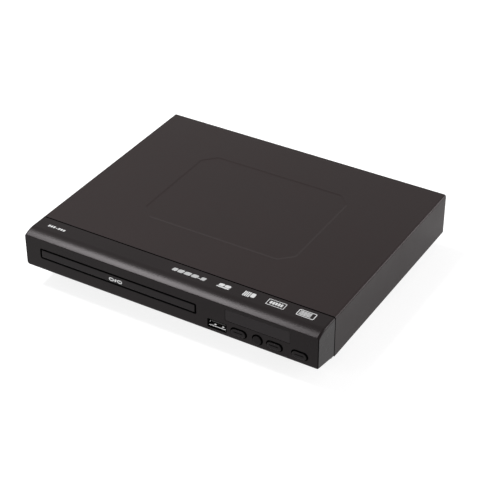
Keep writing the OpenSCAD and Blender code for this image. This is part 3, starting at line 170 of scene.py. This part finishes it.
def rounded(name, outline, lo, hi, axis, at=(0.0, 0.0), r_lo=0.0, r_hi=0.0):
    """A prism of an outline whose two rims are rounded."""
    first = rim(lo, 1, r_lo) if r_lo else [(lo, 0.0)]
    last = rim(hi, -1, r_hi)[::-1] if r_hi else [(hi, 0.0)]
    return solid(name, [(level, outline(inset)) for level, inset in first + last], axis, at)


def flared(name, outline, face, depth, axis, at, chamfer):
    """A cutter that enters at face, ends at depth, and widens at the face by a chamfer."""
    s = 1 if depth > face else -1
    rings = [(face - s, -chamfer - 1), (face + s * chamfer, 0), (depth, 0)]
    return solid(name, [(level, outline(inset)) for level, inset in rings], axis, at)


def apply_modifiers(obj):
    """Bakes an object's modifiers into its mesh."""
    graph = bpy.context.evaluated_depsgraph_get()
    graph.update()
    mesh = bpy.data.meshes.new_from_object(obj.evaluated_get(graph))
    obj.modifiers.clear()
    obj.data = mesh


def combine(obj, others, operation):
    """Cuts others from obj, or unites them with it, and removes them."""
    for other in others:
        modifier = obj.modifiers.new("combine", "BOOLEAN")
        modifier.operation = operation
        modifier.solver = "EXACT"
        modifier.object = other
        apply_modifiers(obj)
        bpy.data.objects.remove(other)


def join(objects):
    """Gathers the meshes of all the objects in the first."""
    first, *others = objects
    bm = bmesh.new()
    bm.from_mesh(first.data)
    for other in others:
        bm.from_mesh(other.data)
        bpy.data.objects.remove(other)
    bm.to_mesh(first.data)
    bm.free()
    return first


def finish_piece(obj, body, material, replaces=()):
    """Shades a finished piece, gives it its material, and says what it rides on and replaces."""
    obj.data.polygons.foreach_set("use_smooth", [True] * len(obj.data.polygons))
    obj.data.set_sharp_from_angle(angle=math.radians(32))
    modifier = obj.modifiers.new("normals", "WEIGHTED_NORMAL")
    modifier.keep_sharp = True
    obj.data.materials.clear()
    obj.data.materials.append(material)
    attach(obj, body)
    if replaces:
        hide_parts(*replaces)


def face_material(obj, look, picks):
    """Gives a second material to the faces whose centre and normal, in mm, picks accepts."""
    obj.data.materials.append(look)
    for polygon in obj.data.polygons:
        if picks(polygon.center / MM, polygon.normal):
            polygon.material_index = 1


# ------------------------------------------------------------------ materials
def grey(v, tint=(1.0, 1.0, 1.0)):
    """A linear colour from an sRGB grey of 0 to 255 and a tint."""
    c = v / 255
    c = c / 12.92 if c <= 0.04045 else ((c + 0.055) / 1.055) ** 2.4
    return tuple(c * t for t in tint) + (1.0,)


def add_node(tree, kind, **values):
    """A new node with values on its sockets. An underscore in a name stands for a space."""
    node = tree.nodes.new(kind)
    for name, value in values.items():
        node.inputs[name.replace("_", " ")].default_value = value
    return node


BROAD_SCALE, BUMP_DEPTH, COAT_ROUGHNESS = 28.0, 0.0002, 0.12


def material(name, colour, roughness, metallic=0.0, specular=0.5, vary=0.04, grain=0.4, bump=0.04,
             rough_vary=0.06, stretch=(1.0, 1.0, 1.0), gloss=(1.0, 1.0, 1.0), coat=0.0):
    """A procedural surface.

    A broad noise varies its tone by vary and its roughness by rough_vary, and a fine noise with
    a grain in mm gives the bump. gloss tints the reflection, stretch scales both noises.
    """
    m = bpy.data.materials.new(name)
    m.use_nodes = True
    tree = m.node_tree
    shader = tree.nodes["Principled BSDF"]
    for socket, value in (("Metallic", metallic), ("Specular IOR Level", specular),
                          ("Specular Tint", gloss + (1.0,)), ("Coat Weight", coat),
                          ("Coat Roughness", COAT_ROUGHNESS)):
        shader.inputs[socket].default_value = value
    coords = add_node(tree, "ShaderNodeTexCoord")
    mapping = add_node(tree, "ShaderNodeMapping", Scale=stretch)
    broad = add_node(tree, "ShaderNodeTexNoise", Scale=BROAD_SCALE, Detail=4.0)
    fine = add_node(tree, "ShaderNodeTexNoise", Scale=1000.0 / grain, Detail=2.0)
    tone = add_node(tree, "ShaderNodeValToRGB")
    for end, place, factor in zip(tone.color_ramp.elements, (0.3, 0.7), (1 - vary, 1 + vary)):
        end.position = place
        end.color = tuple(min(c * factor, 1.0) for c in colour[:3]) + (1.0,)
    spread = add_node(tree, "ShaderNodeMapRange", To_Min=max(roughness - rough_vary, 0.03),
                      To_Max=min(roughness + rough_vary, 1.0))
    relief = add_node(tree, "ShaderNodeBump", Strength=bump, Distance=BUMP_DEPTH)
    for output, socket in ((coords.outputs["Object"], mapping.inputs["Vector"]),
                           (mapping.outputs["Vector"], broad.inputs["Vector"]),
                           (mapping.outputs["Vector"], fine.inputs["Vector"]),
                           (broad.outputs["Fac"], tone.inputs["Fac"]),
                           (tone.outputs["Color"], shader.inputs["Base Color"]),
                           (broad.outputs["Fac"], spread.inputs["Value"]),
                           (spread.outputs["Result"], shader.inputs["Roughness"]),
                           (fine.outputs["Fac"], relief.inputs["Height"]),
                           (relief.outputs["Normal"], shader.inputs["Normal"])):
        tree.links.new(output, socket)
    return m


WARM_GLOSS = (1.0, 0.94, 0.965)
WARM_BLACK = (1.2, 0.9, 0.93)
M = {
    # the outside: the cover's paint, the front's mouldings, and painted shade, a near-black for the
    # faces in their gaps and seams
    "paint": material("cover_powder_coat", grey(19, (1.42, 0.82, 0.8)), 0.42, specular=0.14,
                      vary=0.05, grain=0.45, bump=0.12, gloss=(1.0, 0.94, 0.95)),
    "bezel": material("bezel_moulding", grey(14, (1.3, 0.86, 0.86)), 0.28, specular=0.12,
                      grain=0.3, bump=0.05, rough_vary=0.03, gloss=WARM_GLOSS),
    "door": material("door_moulding", grey(17, WARM_BLACK), 0.3, specular=0.13, grain=0.3,
                     bump=0.05, gloss=WARM_GLOSS),
    "button": material("button_moulding", grey(14, WARM_BLACK), 0.28, specular=0.12, grain=0.3,
                       gloss=WARM_GLOSS),
    "round": material("round_button_moulding", grey(11, WARM_BLACK), 0.32, specular=0.09,
                      grain=0.3, gloss=WARM_GLOSS),
    "window": material("smoked_acrylic", grey(28, (1.16, 0.93, 0.97)), 0.12, specular=0.14,
                       vary=0.02, grain=2.0, bump=0.01, rough_vary=0.02, gloss=WARM_GLOSS),
    # painted shade: near-black and without reflection, it stands for the shade in gaps, seams, holes
    # and behind caps
    "dark": material("painted_shade", grey(5), 0.8, specular=0.01, vary=0.1, bump=0.1),
    "print": material("screen_print", grey(176), 0.6, specular=0.2, vary=0.03, grain=0.25,
                      bump=0.05),
    "print_grey": material("screen_print_grey", grey(150), 0.6, specular=0.2, vary=0.05,
                           grain=0.25, bump=0.05),
    "print_door": material("screen_print_door", grey(222), 0.6, specular=0.3, vary=0.03,
                           grain=0.25, bump=0.05),
    # metals
    "zinc": material("galvanised_sheet", grey(178), 0.42, metallic=0.9, vary=0.12, grain=1.2,
                     bump=0.05, rough_vary=0.12, stretch=(1, 0.35, 1)),
    "plated": material("plated_steel", grey(190), 0.28, metallic=1.0, vary=0.05, grain=0.6),
    "tinned": material("tinned_shell", grey(150), 0.35, metallic=1.0, vary=0.05, grain=0.6),
    "bright": material("polished_steel", grey(205), 0.16, metallic=1.0, vary=0.03, grain=0.8,
                       bump=0.02),
    "brass": material("turned_brass", grey(176, (1.0, 0.74, 0.34)), 0.25, metallic=1.0, vary=0.05,
                      grain=0.5, bump=0.03),
    "gold": material("gold_contact", grey(190, (1.0, 0.78, 0.32)), 0.22, metallic=1.0, vary=0.03,
                     grain=0.6, bump=0.02),
    # rubber, plastics and the lens
    "rubber": material("rubber", grey(38), 0.75, specular=0.3, vary=0.1, grain=0.5, bump=0.2),
    "black": material("black_moulding", grey(32), 0.5, specular=0.4, vary=0.06, grain=0.35,
                      bump=0.1),
    "grey": material("grey_moulding", grey(70), 0.45, specular=0.4, vary=0.05, grain=0.35,
                     bump=0.08),
    "white": material("acetal", grey(205, (1.0, 0.99, 0.95)), 0.45, specular=0.4),
    "ivory": material("ivory_moulding", grey(205, (1.0, 0.95, 0.8)), 0.5, specular=0.4),
    "red": material("red_insulator", grey(150, (1.3, 0.12, 0.1)), 0.45),
    "yellow": material("yellow_insulator", grey(200, (1.1, 0.8, 0.12)), 0.45),
    "lens": material("coated_lens", grey(120, (0.7, 0.75, 1.2)), 0.06, specular=0.8, vary=0.02,
                     grain=2.0, bump=0.0, rough_vary=0.01, coat=0.5),
    # the boards and their parts
    "green": material("solder_mask", grey(84, (0.25, 1.1, 0.45)), 0.35, vary=0.15, grain=1.4,
                      bump=0.12),
    "brown": material("phenolic_board", grey(150, (1.0, 0.68, 0.36)), 0.55, specular=0.4, vary=0.1,
                      grain=0.8, bump=0.08),
    "parts": material("moulded_epoxy", grey(44), 0.5, specular=0.4, vary=0.1, bump=0.08),
}
SLOT_LOOK = {
    "cover_paint": "paint", "zinc_sheet": "zinc", "bezel_plastic": "bezel",
    "smoked_acrylic": "window", "rubber": "rubber", "zinc_steel": "plated",
    "black_plastic": "black", "grey_plastic": "grey", "white_plastic": "white", "brass": "brass",
    "chrome_steel": "bright", "lens_plastic": "lens", "green_board": "green",
    "brown_board": "brown", "ivory_plastic": "ivory", "dark_parts": "parts",
}
NODE_LOOK = {"usb_tongue": "black"}     # looks dark in the photograph
for entry in frame["record"]["subparts"]:
    node_name = entry["node"]
    slots = nodes[node_name].data.materials
    slots.clear()
    slots.append(M[NODE_LOOK.get(node_name, SLOT_LOOK[entry["material_slot"]])])


# ------------------------------------------------------------------ front moulding
def chin_z(y, inset):
    """Height of the moulding's sloping underside."""
    return Z_SIDE + CHIN_RISE - math.tan(CHIN_A) * (y - Y_FACE) + inset / math.cos(CHIN_A)


def section(face, long, crease, chin, back, n=24):
    """The moulding's section in Y and Z, inset by face at the front, by long above and below."""
    y0 = Y_FACE + face
    cy, cz = Y_FACE + ROLL_D, Z_TOP - ROLL_R
    big, reach = ROLL_R - long - crease, ROLL_D - face - crease
    turn = 180 - math.degrees(math.acos(reach / big))
    top_z = cz + math.sqrt(big * big - reach * reach)
    points = [(back, Z_TOP - long)]
    points += arc(cy, cz, ROLL_R - long, 90, turn, n)
    points += arc(y0 + crease, top_z, crease, turn, 180, 6)[1:]
    points += arc(y0 + chin, chin_z(y0 + chin, long + chin), chin, 180,
                  270 - math.degrees(CHIN_A), 6)
    points += [(back, chin_z(back, long))]
    return points


def end_inset(r, e):
    """Inset of a rounded edge of radius r at the distance e from the end."""
    return r - math.sqrt(max(r * r - (r - e) ** 2, 0.0)) if e < r else 0.0


def cap_outline(key, grow=0.0, flat=FLAT, n=14):
    """Outline of a button's cap, or of its hole or flange where it grows."""
    if key == "round":
        return circle(ROUND_D / 2 + grow)
    return round_rect(PILL_W + 2 * grow, PILL_H + 2 * grow, PILL_H / 2 + grow - flat, n)


ends = []
for turn in END_TURNS:
    e = FOLD_R * (1 - math.sin(math.radians(turn)))
    outline = section(end_inset(END_R, e), end_inset(FOLD_R, e), CREASE_R, CHIN_R, Y_SEAM)
    ends.append((HALF_W - e, outline))
bezel = solid("front_moulding", [(-x, outline) for x, outline in reversed(ends)] + ends, "x")
inside = section(WALL, WALL, HOLLOW_R, HOLLOW_R, Y_SEAM + THROUGH)
combine(bezel, [prism("hollow", inside, WALL - HALF_W, HALF_W - WALL, "x")], "DIFFERENCE")
recess = round_rect(WINDOW_W, WINDOW_H, CORNER_R)()
opening = round_rect(WINDOW_W - WINDOW_LEDGE_W, WINDOW_H - WINDOW_LEDGE_H, CORNER_R)()
usb_hole = round_rect(USB_W + 2 * USB_HOLE_GAP, USB_H + 2 * USB_HOLE_GAP, USB_HOLE_R)
cutters = [
    flared("slot", round_rect(SLOT_W, SLOT_H, CORNER_R), Y_FACE, Y_WALL + THROUGH, "y",
           (TRAY_X, SLOT_Z), SLOT_FLARE),
    prism("window_recess", recess, Y_FACE - THROUGH, Y_FACE + WINDOW_T, "y",
          (WINDOW_X, WINDOW_Z)),
    prism("window_hole", opening, Y_FACE, Y_WALL + THROUGH, "y", (WINDOW_X, WINDOW_Z)),
    flared("usb_hole", usb_hole, Y_FACE, Y_WALL + THROUGH, "y", (USB_X, USB_Z), USB_FLARE),
]
cutters += [flared(key + "_hole", cap_outline(key, CAP_GAP, n=12), Y_FACE, Y_WALL + THROUGH, "y",
                   (BUTTONS[key], BUTTON_Z), CAP_FLARE)
            for key in ("round", "eject", "stop", "power")]
combine(bezel, cutters, "DIFFERENCE")
finish_piece(bezel, "housing", M["bezel"], replaces=["front_bezel"])


def within(c, x, z, w, h):
    """Whether a point of the moulding's front wall lies in a rectangle."""
    return c.y < Y_WALL + 0.3 and abs(c.x - x) < w / 2 and abs(c.z - z) < h / 2


def painted_shade_faces(c, n):
    """The moulding's faces that get painted shade, in the seam and in two of its holes, and a painted
    dark reflection, on its upright front corners.
    """
    hole = (within(c, TRAY_X, SLOT_Z, SLOT_W + 1, SLOT_H + 1)
            or within(c, USB_X, USB_Z, USB_W + 1.4, USB_H + 1.4))
    seam = n.y > 0.9 and c.y > Y_SEAM - 0.1
    corner = n.y < -0.5 and abs(n.x) > 0.2
    return (hole and abs(n.y) < 0.85) or seam or corner


# Painted shade on the moulding's seam and hole walls, and a painted dark reflection on its upright
# front corners.
face_material(bezel, M["dark"], painted_shade_faces)

under, side = Z_TOP - SHEET - TONGUE_GAP, HALF_W - SHEET - TONGUE_GAP
side_top = under - TONGUE_CORNER
top_tongue = round_rect(2 * (side - TONGUE_CORNER), TONGUE_T, TONGUE_R)
side_tongue = round_rect(SIDE_TONGUE_T, side_top - TONGUE_Z0, TONGUE_R)
tongues = [("moulding_tongues", top_tongue, (0, under - TONGUE_T / 2))]
tongues += [("side_tongue", side_tongue,
             (s * (side - SIDE_TONGUE_T / 2), (side_top + TONGUE_Z0) / 2)) for s in (-1, 1)]
tongue = join([rounded(name, outline, Y_SEAM - OVERLAP, Y_COVER + TONGUE_REACH, "y", at, 0,
                       TONGUE_R) for name, outline, at in tongues])
# Painted shade: the tongues behind the seam get the near-black look so the seam reads dark.
finish_piece(tongue, "housing", M["dark"])

door = rounded("door_moulding", round_rect(DOOR_W, DOOR_H, DOOR_CORNER_R), Y_FACE, DOOR_BACK,
               "y", (TRAY_X, SLOT_Z), DOOR_EDGE_R)
finish_piece(door, "tray_carrier", M["door"], replaces=["tray_door"])
# Painted shade: the door's flanks and back, in the gap round it, are made near-black.
face_material(door, M["dark"], lambda c, n: n.y > -0.97)

pane = round_rect(WINDOW_W - PANE_GAP, WINDOW_H - PANE_GAP, PANE_R)
window = rounded("window_pane", pane, Y_FACE + PANE_SINK, Y_FACE + WINDOW_T, "y",
                 (WINDOW_X, WINDOW_Z), PANE_EDGE_R)
finish_piece(window, "housing", M["window"], replaces=["display_window"])

CAP_FRONT = Y_FACE - PROUD
for key, x in BUTTONS.items():
    at = (x, BUTTON_Z)
    shape = cap_outline(key)
    rings = [(level, shape(inset)) for level, inset in rim(CAP_FRONT, 1, CAP_EDGE_R, 6)]
    cap = solid(key + "_cap", rings + [(FLANGE_Y + OVERLAP, shape(0))], "y", at)
    if key != "round":
        groove = round_rect(PILL_W - GROOVE_SHORT, GROOVE_H, GROOVE_H / 2 - FLAT)()
        combine(cap, [prism("groove", groove, CAP_FRONT - THROUGH, CAP_FRONT + GROOVE_DEPTH, "y",
                            (x, BUTTON_Z + GROOVE_RISE))], "DIFFERENCE")
    flange_end = FLANGE_Y + FLANGE_T
    join([cap,
          rounded("flange", cap_outline(key, CAP_LIP, 2 * FLAT), FLANGE_Y, flange_end, "y", at,
                  FLANGE_R, FLANGE_R),
          lathe("stem", [(PLUNGER_D / 2, flange_end - OVERLAP), (PLUNGER_D / 2, PLUNGER_Y)], at,
                "y", 32)])
    look = M["round" if key == "round" else "button"]
    finish_piece(cap, key + "_key", look, replaces=[key + "_button"])
    # Painted shade: a cap's flanks, its groove's walls and floor, and all behind its front are made
    # near-black.
    face_material(cap, M["dark"], lambda c, n: n.y > -0.5 or c.y > CAP_FRONT + 0.3)


# ------------------------------------------------------------------ cover
def fold(half, z0, z1, r, t, n=8):
    """U-shaped section of the folded sheet in X and Z."""
    outside = ([(-half, z0)] + arc(r - half, z1 - r, r, 180, 90, n)
               + arc(half - r, z1 - r, r, 90, 0, n) + [(half, z0)])
    inside = ([(half - t, z0)] + arc(half - r, z1 - r, r - t, 0, 90, n)
              + arc(r - half, z1 - r, r - t, 90, 180, n) + [(t - half, z0)])
    return outside + inside


def cut_corner(w, d, cut, inset, r=4.0, n=5):
    """Outline of the pressed panel: a rectangle with its corners cut at 45 degrees.

    The cut shrinks by 2 - sqrt(2) of the inset, and the two bends at its ends have the radius r,
    so they start at r times the tangent of 22.5 degrees from the bend's corner.
    """
    w, d, c = w / 2 - inset, d / 2 - inset, cut - inset * 0.59
    corners = [Vector(p) for p in ((w, c - d), (w, d - c), (w - c, d), (c - w, d), (-w, d - c),
                                   (-w, c - d), (c - w, -d), (w - c, -d))]
    points = []
    for i, here in enumerate(corners):
        a, b = ((corners[j] - here).normalized() * r * 0.42 for j in (i - 1, (i + 1) % 8))
        for k in range(n + 1):
            t = k / n
            p = (here + a) * (1 - t) ** 2 + here * 2 * t * (1 - t) + (here + b) * t * t
            points.append((p.x, p.y))
    return points


cover = solid("cover_sheet", [(y, fold(HALF_W, Z_SIDE, Z_TOP, FOLD_R, SHEET))
                              for y in (Y_COVER, Y_BACK)], "y")
# The cutter for the pressed panel starts wide above the sheet and eases in and out of its slope.
panel_rings = [(Z_TOP + 0.2, -1.6)]
for k in range(EMBOSS_STEPS + 1):
    t = k / EMBOSS_STEPS
    depth = EMBOSS_DEPTH * (3 * t * t - 2 * t ** 3)
    panel_rings.append((Z_TOP + 0.004 - depth, EMBOSS_SLOPE * (t - 0.5)))
panel = [(z, cut_corner(EMBOSS_W, EMBOSS_D, EMBOSS_CUT, inset)) for z, inset in panel_rings]
combine(cover, [solid("panel", panel, "z", (0, (Y_COVER + Y_BACK) / 2 + EMBOSS_SHIFT))],
        "DIFFERENCE")
for s in (-1, 1):
    hem = rounded("hem", round_rect(SHEET, HEM_H, HEM_R), Y_COVER, Y_BACK, "y",
                  (s * (HALF_W - 1.5 * SHEET), Z_SIDE + HEM_H / 2), HEM_EDGE_R, HEM_EDGE_R)
    combine(cover, [hem], "UNION")
lip = prism("lip", round_rect(2 * (HALF_W - FOLD_R), LIP_H, LIP_R)(), Y_BACK - SHEET, Y_BACK, "y",
            (0, Z_TOP - LIP_DROP))
combine(lip, [lathe("hole", [(SCREW_HOLE_R, Y_BACK - 3), (SCREW_HOLE_R, Y_BACK + 3)],
                    (x, SCREW_Z), "y", 32) for x in SCREW_X], "DIFFERENCE")
combine(cover, [lip], "UNION")
finish_piece(cover, "housing", M["paint"], replaces=["top_cover"])
# Painted shade: the sheet's front edge face, seen in the seam, is made near-black.
face_material(cover, M["dark"], lambda c, n: n.y < -0.9 and c.y < Y_COVER + 0.1)


# ------------------------------------------------------------------ prints
def prints(name, parts, body, look, axis, level):
    """Thin printed shapes, each (outline, position), on one level facing away from the object."""
    out = 1 if axis == "z" else -1
    lo, hi = sorted((level - out * PRINT_ROOT, level + out * PRINT_T))
    first = join([prism("%s_%d" % (name, i), outline, lo, hi, axis, at)
                  for i, (outline, at) in enumerate(parts)])
    first.name = name
    finish_piece(first, body, look)


def bar(w, h, r, slant=0.0):
    """A small printed bar, leaning by slant."""
    return [(a + b * slant, b) for a, b in round_rect(w, h, r, 3)()]


def frame_parts(w, h, t, r, at):
    """A thin rectangular frame with round corners, as two halves."""
    outer, inner = round_rect(w, h, r, 4)(), round_rect(w, h, r, 4)(t)
    n = len(outer) // 4
    right = (outer[3 * n:] + outer[:n] + [(0, h / 2), (0, h / 2 - t)]
             + (inner[3 * n:] + inner[:n])[::-1] + [(0, t - h / 2), (0, -h / 2)])
    return [(right, at), ([(-a, b) for a, b in right], at)]


# Bars and frames in the places of the photograph's words and signs, laid out much like them.
TOP_PRINTS = {
    "left": ([(bar(1.45, 2.0, 0.3, 0.1), (-100.8 + 2.0 * i, -80.3)) for i in range(7) if i != 3]
             + [(bar(1.2, 0.8, 0.3), (-94.8, -80.5))]),
    "middle": ([(bar(w, 3.3, 0.9, 0.2), (x, -79.9)) for x, w in
                ((-1.0, 3.4), (3.4, 4.4), (8.6, 4.8), (14.0, 4.6), (20.2, 3.4))]
               + [(bar(3.0, 0.8, 0.3), (17.4, -80.6))]),
    "disc": [(bar(8.9, 1.1, 0.3, 0.1), (35.5, -81.3)), (bar(4.0, 2.7, 1.0, 0.1), (33.6, -79.1)),
             (bar(4.3, 2.7, 1.0, 0.1), (38.1, -79.1))],
    "bars": ([(bar(0.85, 5.3, 0.2), (50.3 + 1.25 * i, -79.4)) for i in range(4)]
             + [(bar(3.0, 4.4, 0.8), (56.5, -79.0))]),
    "tag": (frame_parts(12.8, 6.1, 0.45, 0.6, (73.35, -79.3))
            + [(bar(1.5, 2.9, 0.4), (69.6 + 1.9 * i, -79.3)) for i in range(5)]),
    "card": (frame_parts(12.4, 6.4, 0.6, 1.0, (94.7, -79.2))
             + [(bar(8.2, 0.65, 0.3), (93.9, -77.6 - 1.07 * i)) for i in range(4)]),
}
for name, parts in TOP_PRINTS.items():
    look = M["print_grey" if name == "middle" else "print"]
    prints("print_" + name, parts, "housing", look, "z", Z_TOP)
door_mark = (frame_parts(3.9, 2.6, 0.75, 1.2, (-41.8, 27.9))
             + frame_parts(3.9, 2.6, 0.75, 1.2, (-35.4, 27.9))
             + [(bar(1.5, 2.3, 0.6, 0.3), (-38.6, 27.9))])
prints("print_door", door_mark, "tray_carrier", M["print_door"], "y", Y_FACE)


# ------------------------------------------------------------------ sockets
def leaf_spring(name, steps, x, z):
    """A bowed spring in the USB socket, through sections of (depth, width, height)."""
    rings = [(USB_Y0 + depth, bar(w, h, SPRING_R)) for depth, w, h in steps]
    return solid(name, rings, "y", (USB_X + x, USB_Z + z))


shell_at, shell_h = (USB_X, USB_Z + USB_RISE / 2), USB_H - USB_RISE
shell = rounded("usb_shell", round_rect(USB_W, shell_h, SHELL_R), USB_Y0, USB_Y1, "y", shell_at)
cavity = round_rect(USB_W - 2 * USB_SHEET, shell_h - 2 * USB_SHEET, CAVITY_R)
combine(shell, [flared("cavity", cavity, USB_Y0, USB_Y1 - USB_BACK, "y", shell_at, USB_FLARE)],
        "DIFFERENCE")
finish_piece(shell, "housing", M["tinned"], replaces=["usb_socket"])
# Painted shade: all of the shell above its floor, and its left wall, is made near-black.
face_material(shell, M["dark"],
              lambda c, n: c.z > USB_Z + USB_RISE - 2.2 or c.x < USB_X - 5.6)
springs = join([
    *(leaf_spring("usb_springs", ((1.2, 1.5, 0.3), (1.8, 1.5, 1.2), (3.0, 1.5, 0.3)), x, -1.45)
      for x in (-2.2, 3.6)),
    leaf_spring("side_spring", ((0.7, 0.3, 1.4), (1.4, 1.1, 1.4), (2.4, 0.3, 1.4)), -6.15, 0.5)])
finish_piece(springs, "housing", M["bright"])
contact = round_rect(CONTACT_W, CONTACT_T, CONTACT_R)
contacts = join([rounded("usb_contacts", contact, *CONTACT_Y, "y",
                         (USB_X + x, USB_Z + CONTACT_RISE)) for x in (-3.5, -1.1, 1.1, 3.5)])
finish_piece(contacts, "housing", M["gold"])
for x, colour, place in zip(JACKS, ("yellow", "white", "red"), ("left", "middle", "right")):
    insulator = lathe("jack_insulator_" + place, [(r, PANEL_Y + past) for r, past in INSULATOR],
                      (x, JACK_Z), "y", 48)
    finish_piece(insulator, "housing", M[colour])


# ------------------------------------------------------------------ floor and background
def show_background(tree, hidden, shown, surface):
    """Sends shown to surface for the rays that see the background, and hidden for all others.

    Rays from the camera, off a glossy surface and through a clear one see it.
    """
    rays = add_node(tree, "ShaderNodeLightPath")
    total = rays.outputs["Is Camera Ray"]
    for kind in ("Is Glossy Ray", "Is Transmission Ray"):
        either = add_node(tree, "ShaderNodeMath")
        either.operation = "MAXIMUM"
        tree.links.new(total, either.inputs[0])
        tree.links.new(rays.outputs[kind], either.inputs[1])
        total = either.outputs[0]
    mix = add_node(tree, "ShaderNodeMixShader")
    tree.links.new(total, mix.inputs["Fac"])
    tree.links.new(hidden, mix.inputs[1])
    tree.links.new(shown, mix.inputs[2])
    tree.links.new(mix.outputs[0], surface)


FLOOR_HALF = 6
FLOOR_Z = -0.0002       # just below the feet, so that no two surfaces share a plane
FLOOR_SEEN, FLOOR_UNSEEN, FLOOR_GLOW = 0.35, 0.3, 0.78
floor_mesh = bpy.data.meshes.new("floor")
floor_mesh.from_pydata([(a * FLOOR_HALF, b * FLOOR_HALF, FLOOR_Z)
                        for a, b in ((-1, -1), (1, -1), (1, 1), (-1, 1))], [], [(0, 1, 2, 3)])
floor = link("floor", floor_mesh)
look = bpy.data.materials.new("pale_floor")
look.use_nodes = True
tree = look.node_tree
tree.nodes.remove(tree.nodes["Principled BSDF"])
unseen = add_node(tree, "ShaderNodeBsdfDiffuse", Color=(FLOOR_UNSEEN,) * 3 + (1,))
seen = add_node(tree, "ShaderNodeBsdfDiffuse", Color=(FLOOR_SEEN,) * 3 + (1,))
glow = add_node(tree, "ShaderNodeEmission", Strength=FLOOR_GLOW)
glowing = add_node(tree, "ShaderNodeAddShader")
tree.links.new(seen.outputs[0], glowing.inputs[0])
tree.links.new(glow.outputs[0], glowing.inputs[1])
show_background(tree, unseen.outputs[0], glowing.outputs[0],
                tree.nodes["Material Output"].inputs["Surface"])
floor_mesh.materials.append(look)

world = bpy.data.worlds.new("studio")
bpy.context.scene.world = world
world.use_nodes = True
tree = world.node_tree
ambient = tree.nodes["Background"]
ambient.inputs["Color"].default_value = (0.98, 0.99, 1.0, 1)
ambient.inputs["Strength"].default_value = 0.45
white = add_node(tree, "ShaderNodeBackground", Color=(1, 1, 1, 1), Strength=1.0)
show_background(tree, ambient.outputs[0], white.outputs[0],
                tree.nodes["World Output"].inputs["Surface"])


# ------------------------------------------------------------------ lamps and camera
def softbox(name, place, aim, size, power, colour=(1, 1, 1)):
    """A rectangular soft lamp, places in metres."""
    lamp = bpy.data.lights.new(name, "AREA")
    lamp.shape = "RECTANGLE"
    lamp.size, lamp.size_y = size
    lamp.energy = power
    lamp.color = colour
    obj = link(name, lamp)
    obj.location = place
    obj.rotation_euler = (Vector(aim) - Vector(place)).to_track_quat("-Z", "Y").to_euler()


softbox("key", (0.8, 0.88, 0.26), (0.1, 0.05, 0.03), (0.6, 0.4), 8, (1.0, 0.94, 0.96))
softbox("roll_light", (-0.51, -0.09, 1.0), (0, -0.085, 0.03), (0.42, 0.37), 14)
softbox("front_light", (-0.2, -1.3, 0.8), (0, 0, 0.02), (0.8, 0.4), 7)

# The photograph's view, fitted to the casing's edges: angles in degrees, lengths in metres.
AZIMUTH, ELEVATION, ROLL = (math.radians(v) for v in (30.5815, 34.5395, -0.027))
MIDDLE, DISTANCE, SHIFT = Vector((0, 0, 0.021)), 1.028148, (-0.0064, 0.0090512)
FOCAL_PX, IMAGE_PX, SENSOR_MM = 1497.964, 500, 36
back = Vector((math.sin(AZIMUTH) * math.cos(ELEVATION), -math.cos(AZIMUTH) * math.cos(ELEVATION),
               math.sin(ELEVATION)))
right = Vector((math.cos(AZIMUTH), math.sin(AZIMUTH), 0))
up = back.cross(right)
right, up = (right * math.cos(ROLL) - up * math.sin(ROLL),
             right * math.sin(ROLL) + up * math.cos(ROLL))
camera = link("camera", bpy.data.cameras.new("camera"))
place = MIDDLE + back * DISTANCE - right * SHIFT[0] - up * SHIFT[1]
axes = Matrix((right, up, back)).transposed().to_4x4()
camera.matrix_world = Matrix.Translation(place) @ axes
camera.data.sensor_width = SENSOR_MM
camera.data.lens = SENSOR_MM * FOCAL_PX / IMAGE_PX
camera.data.clip_end = 20
bpy.context.scene.camera = camera
bpy.context.scene.view_settings.view_transform = "Standard"
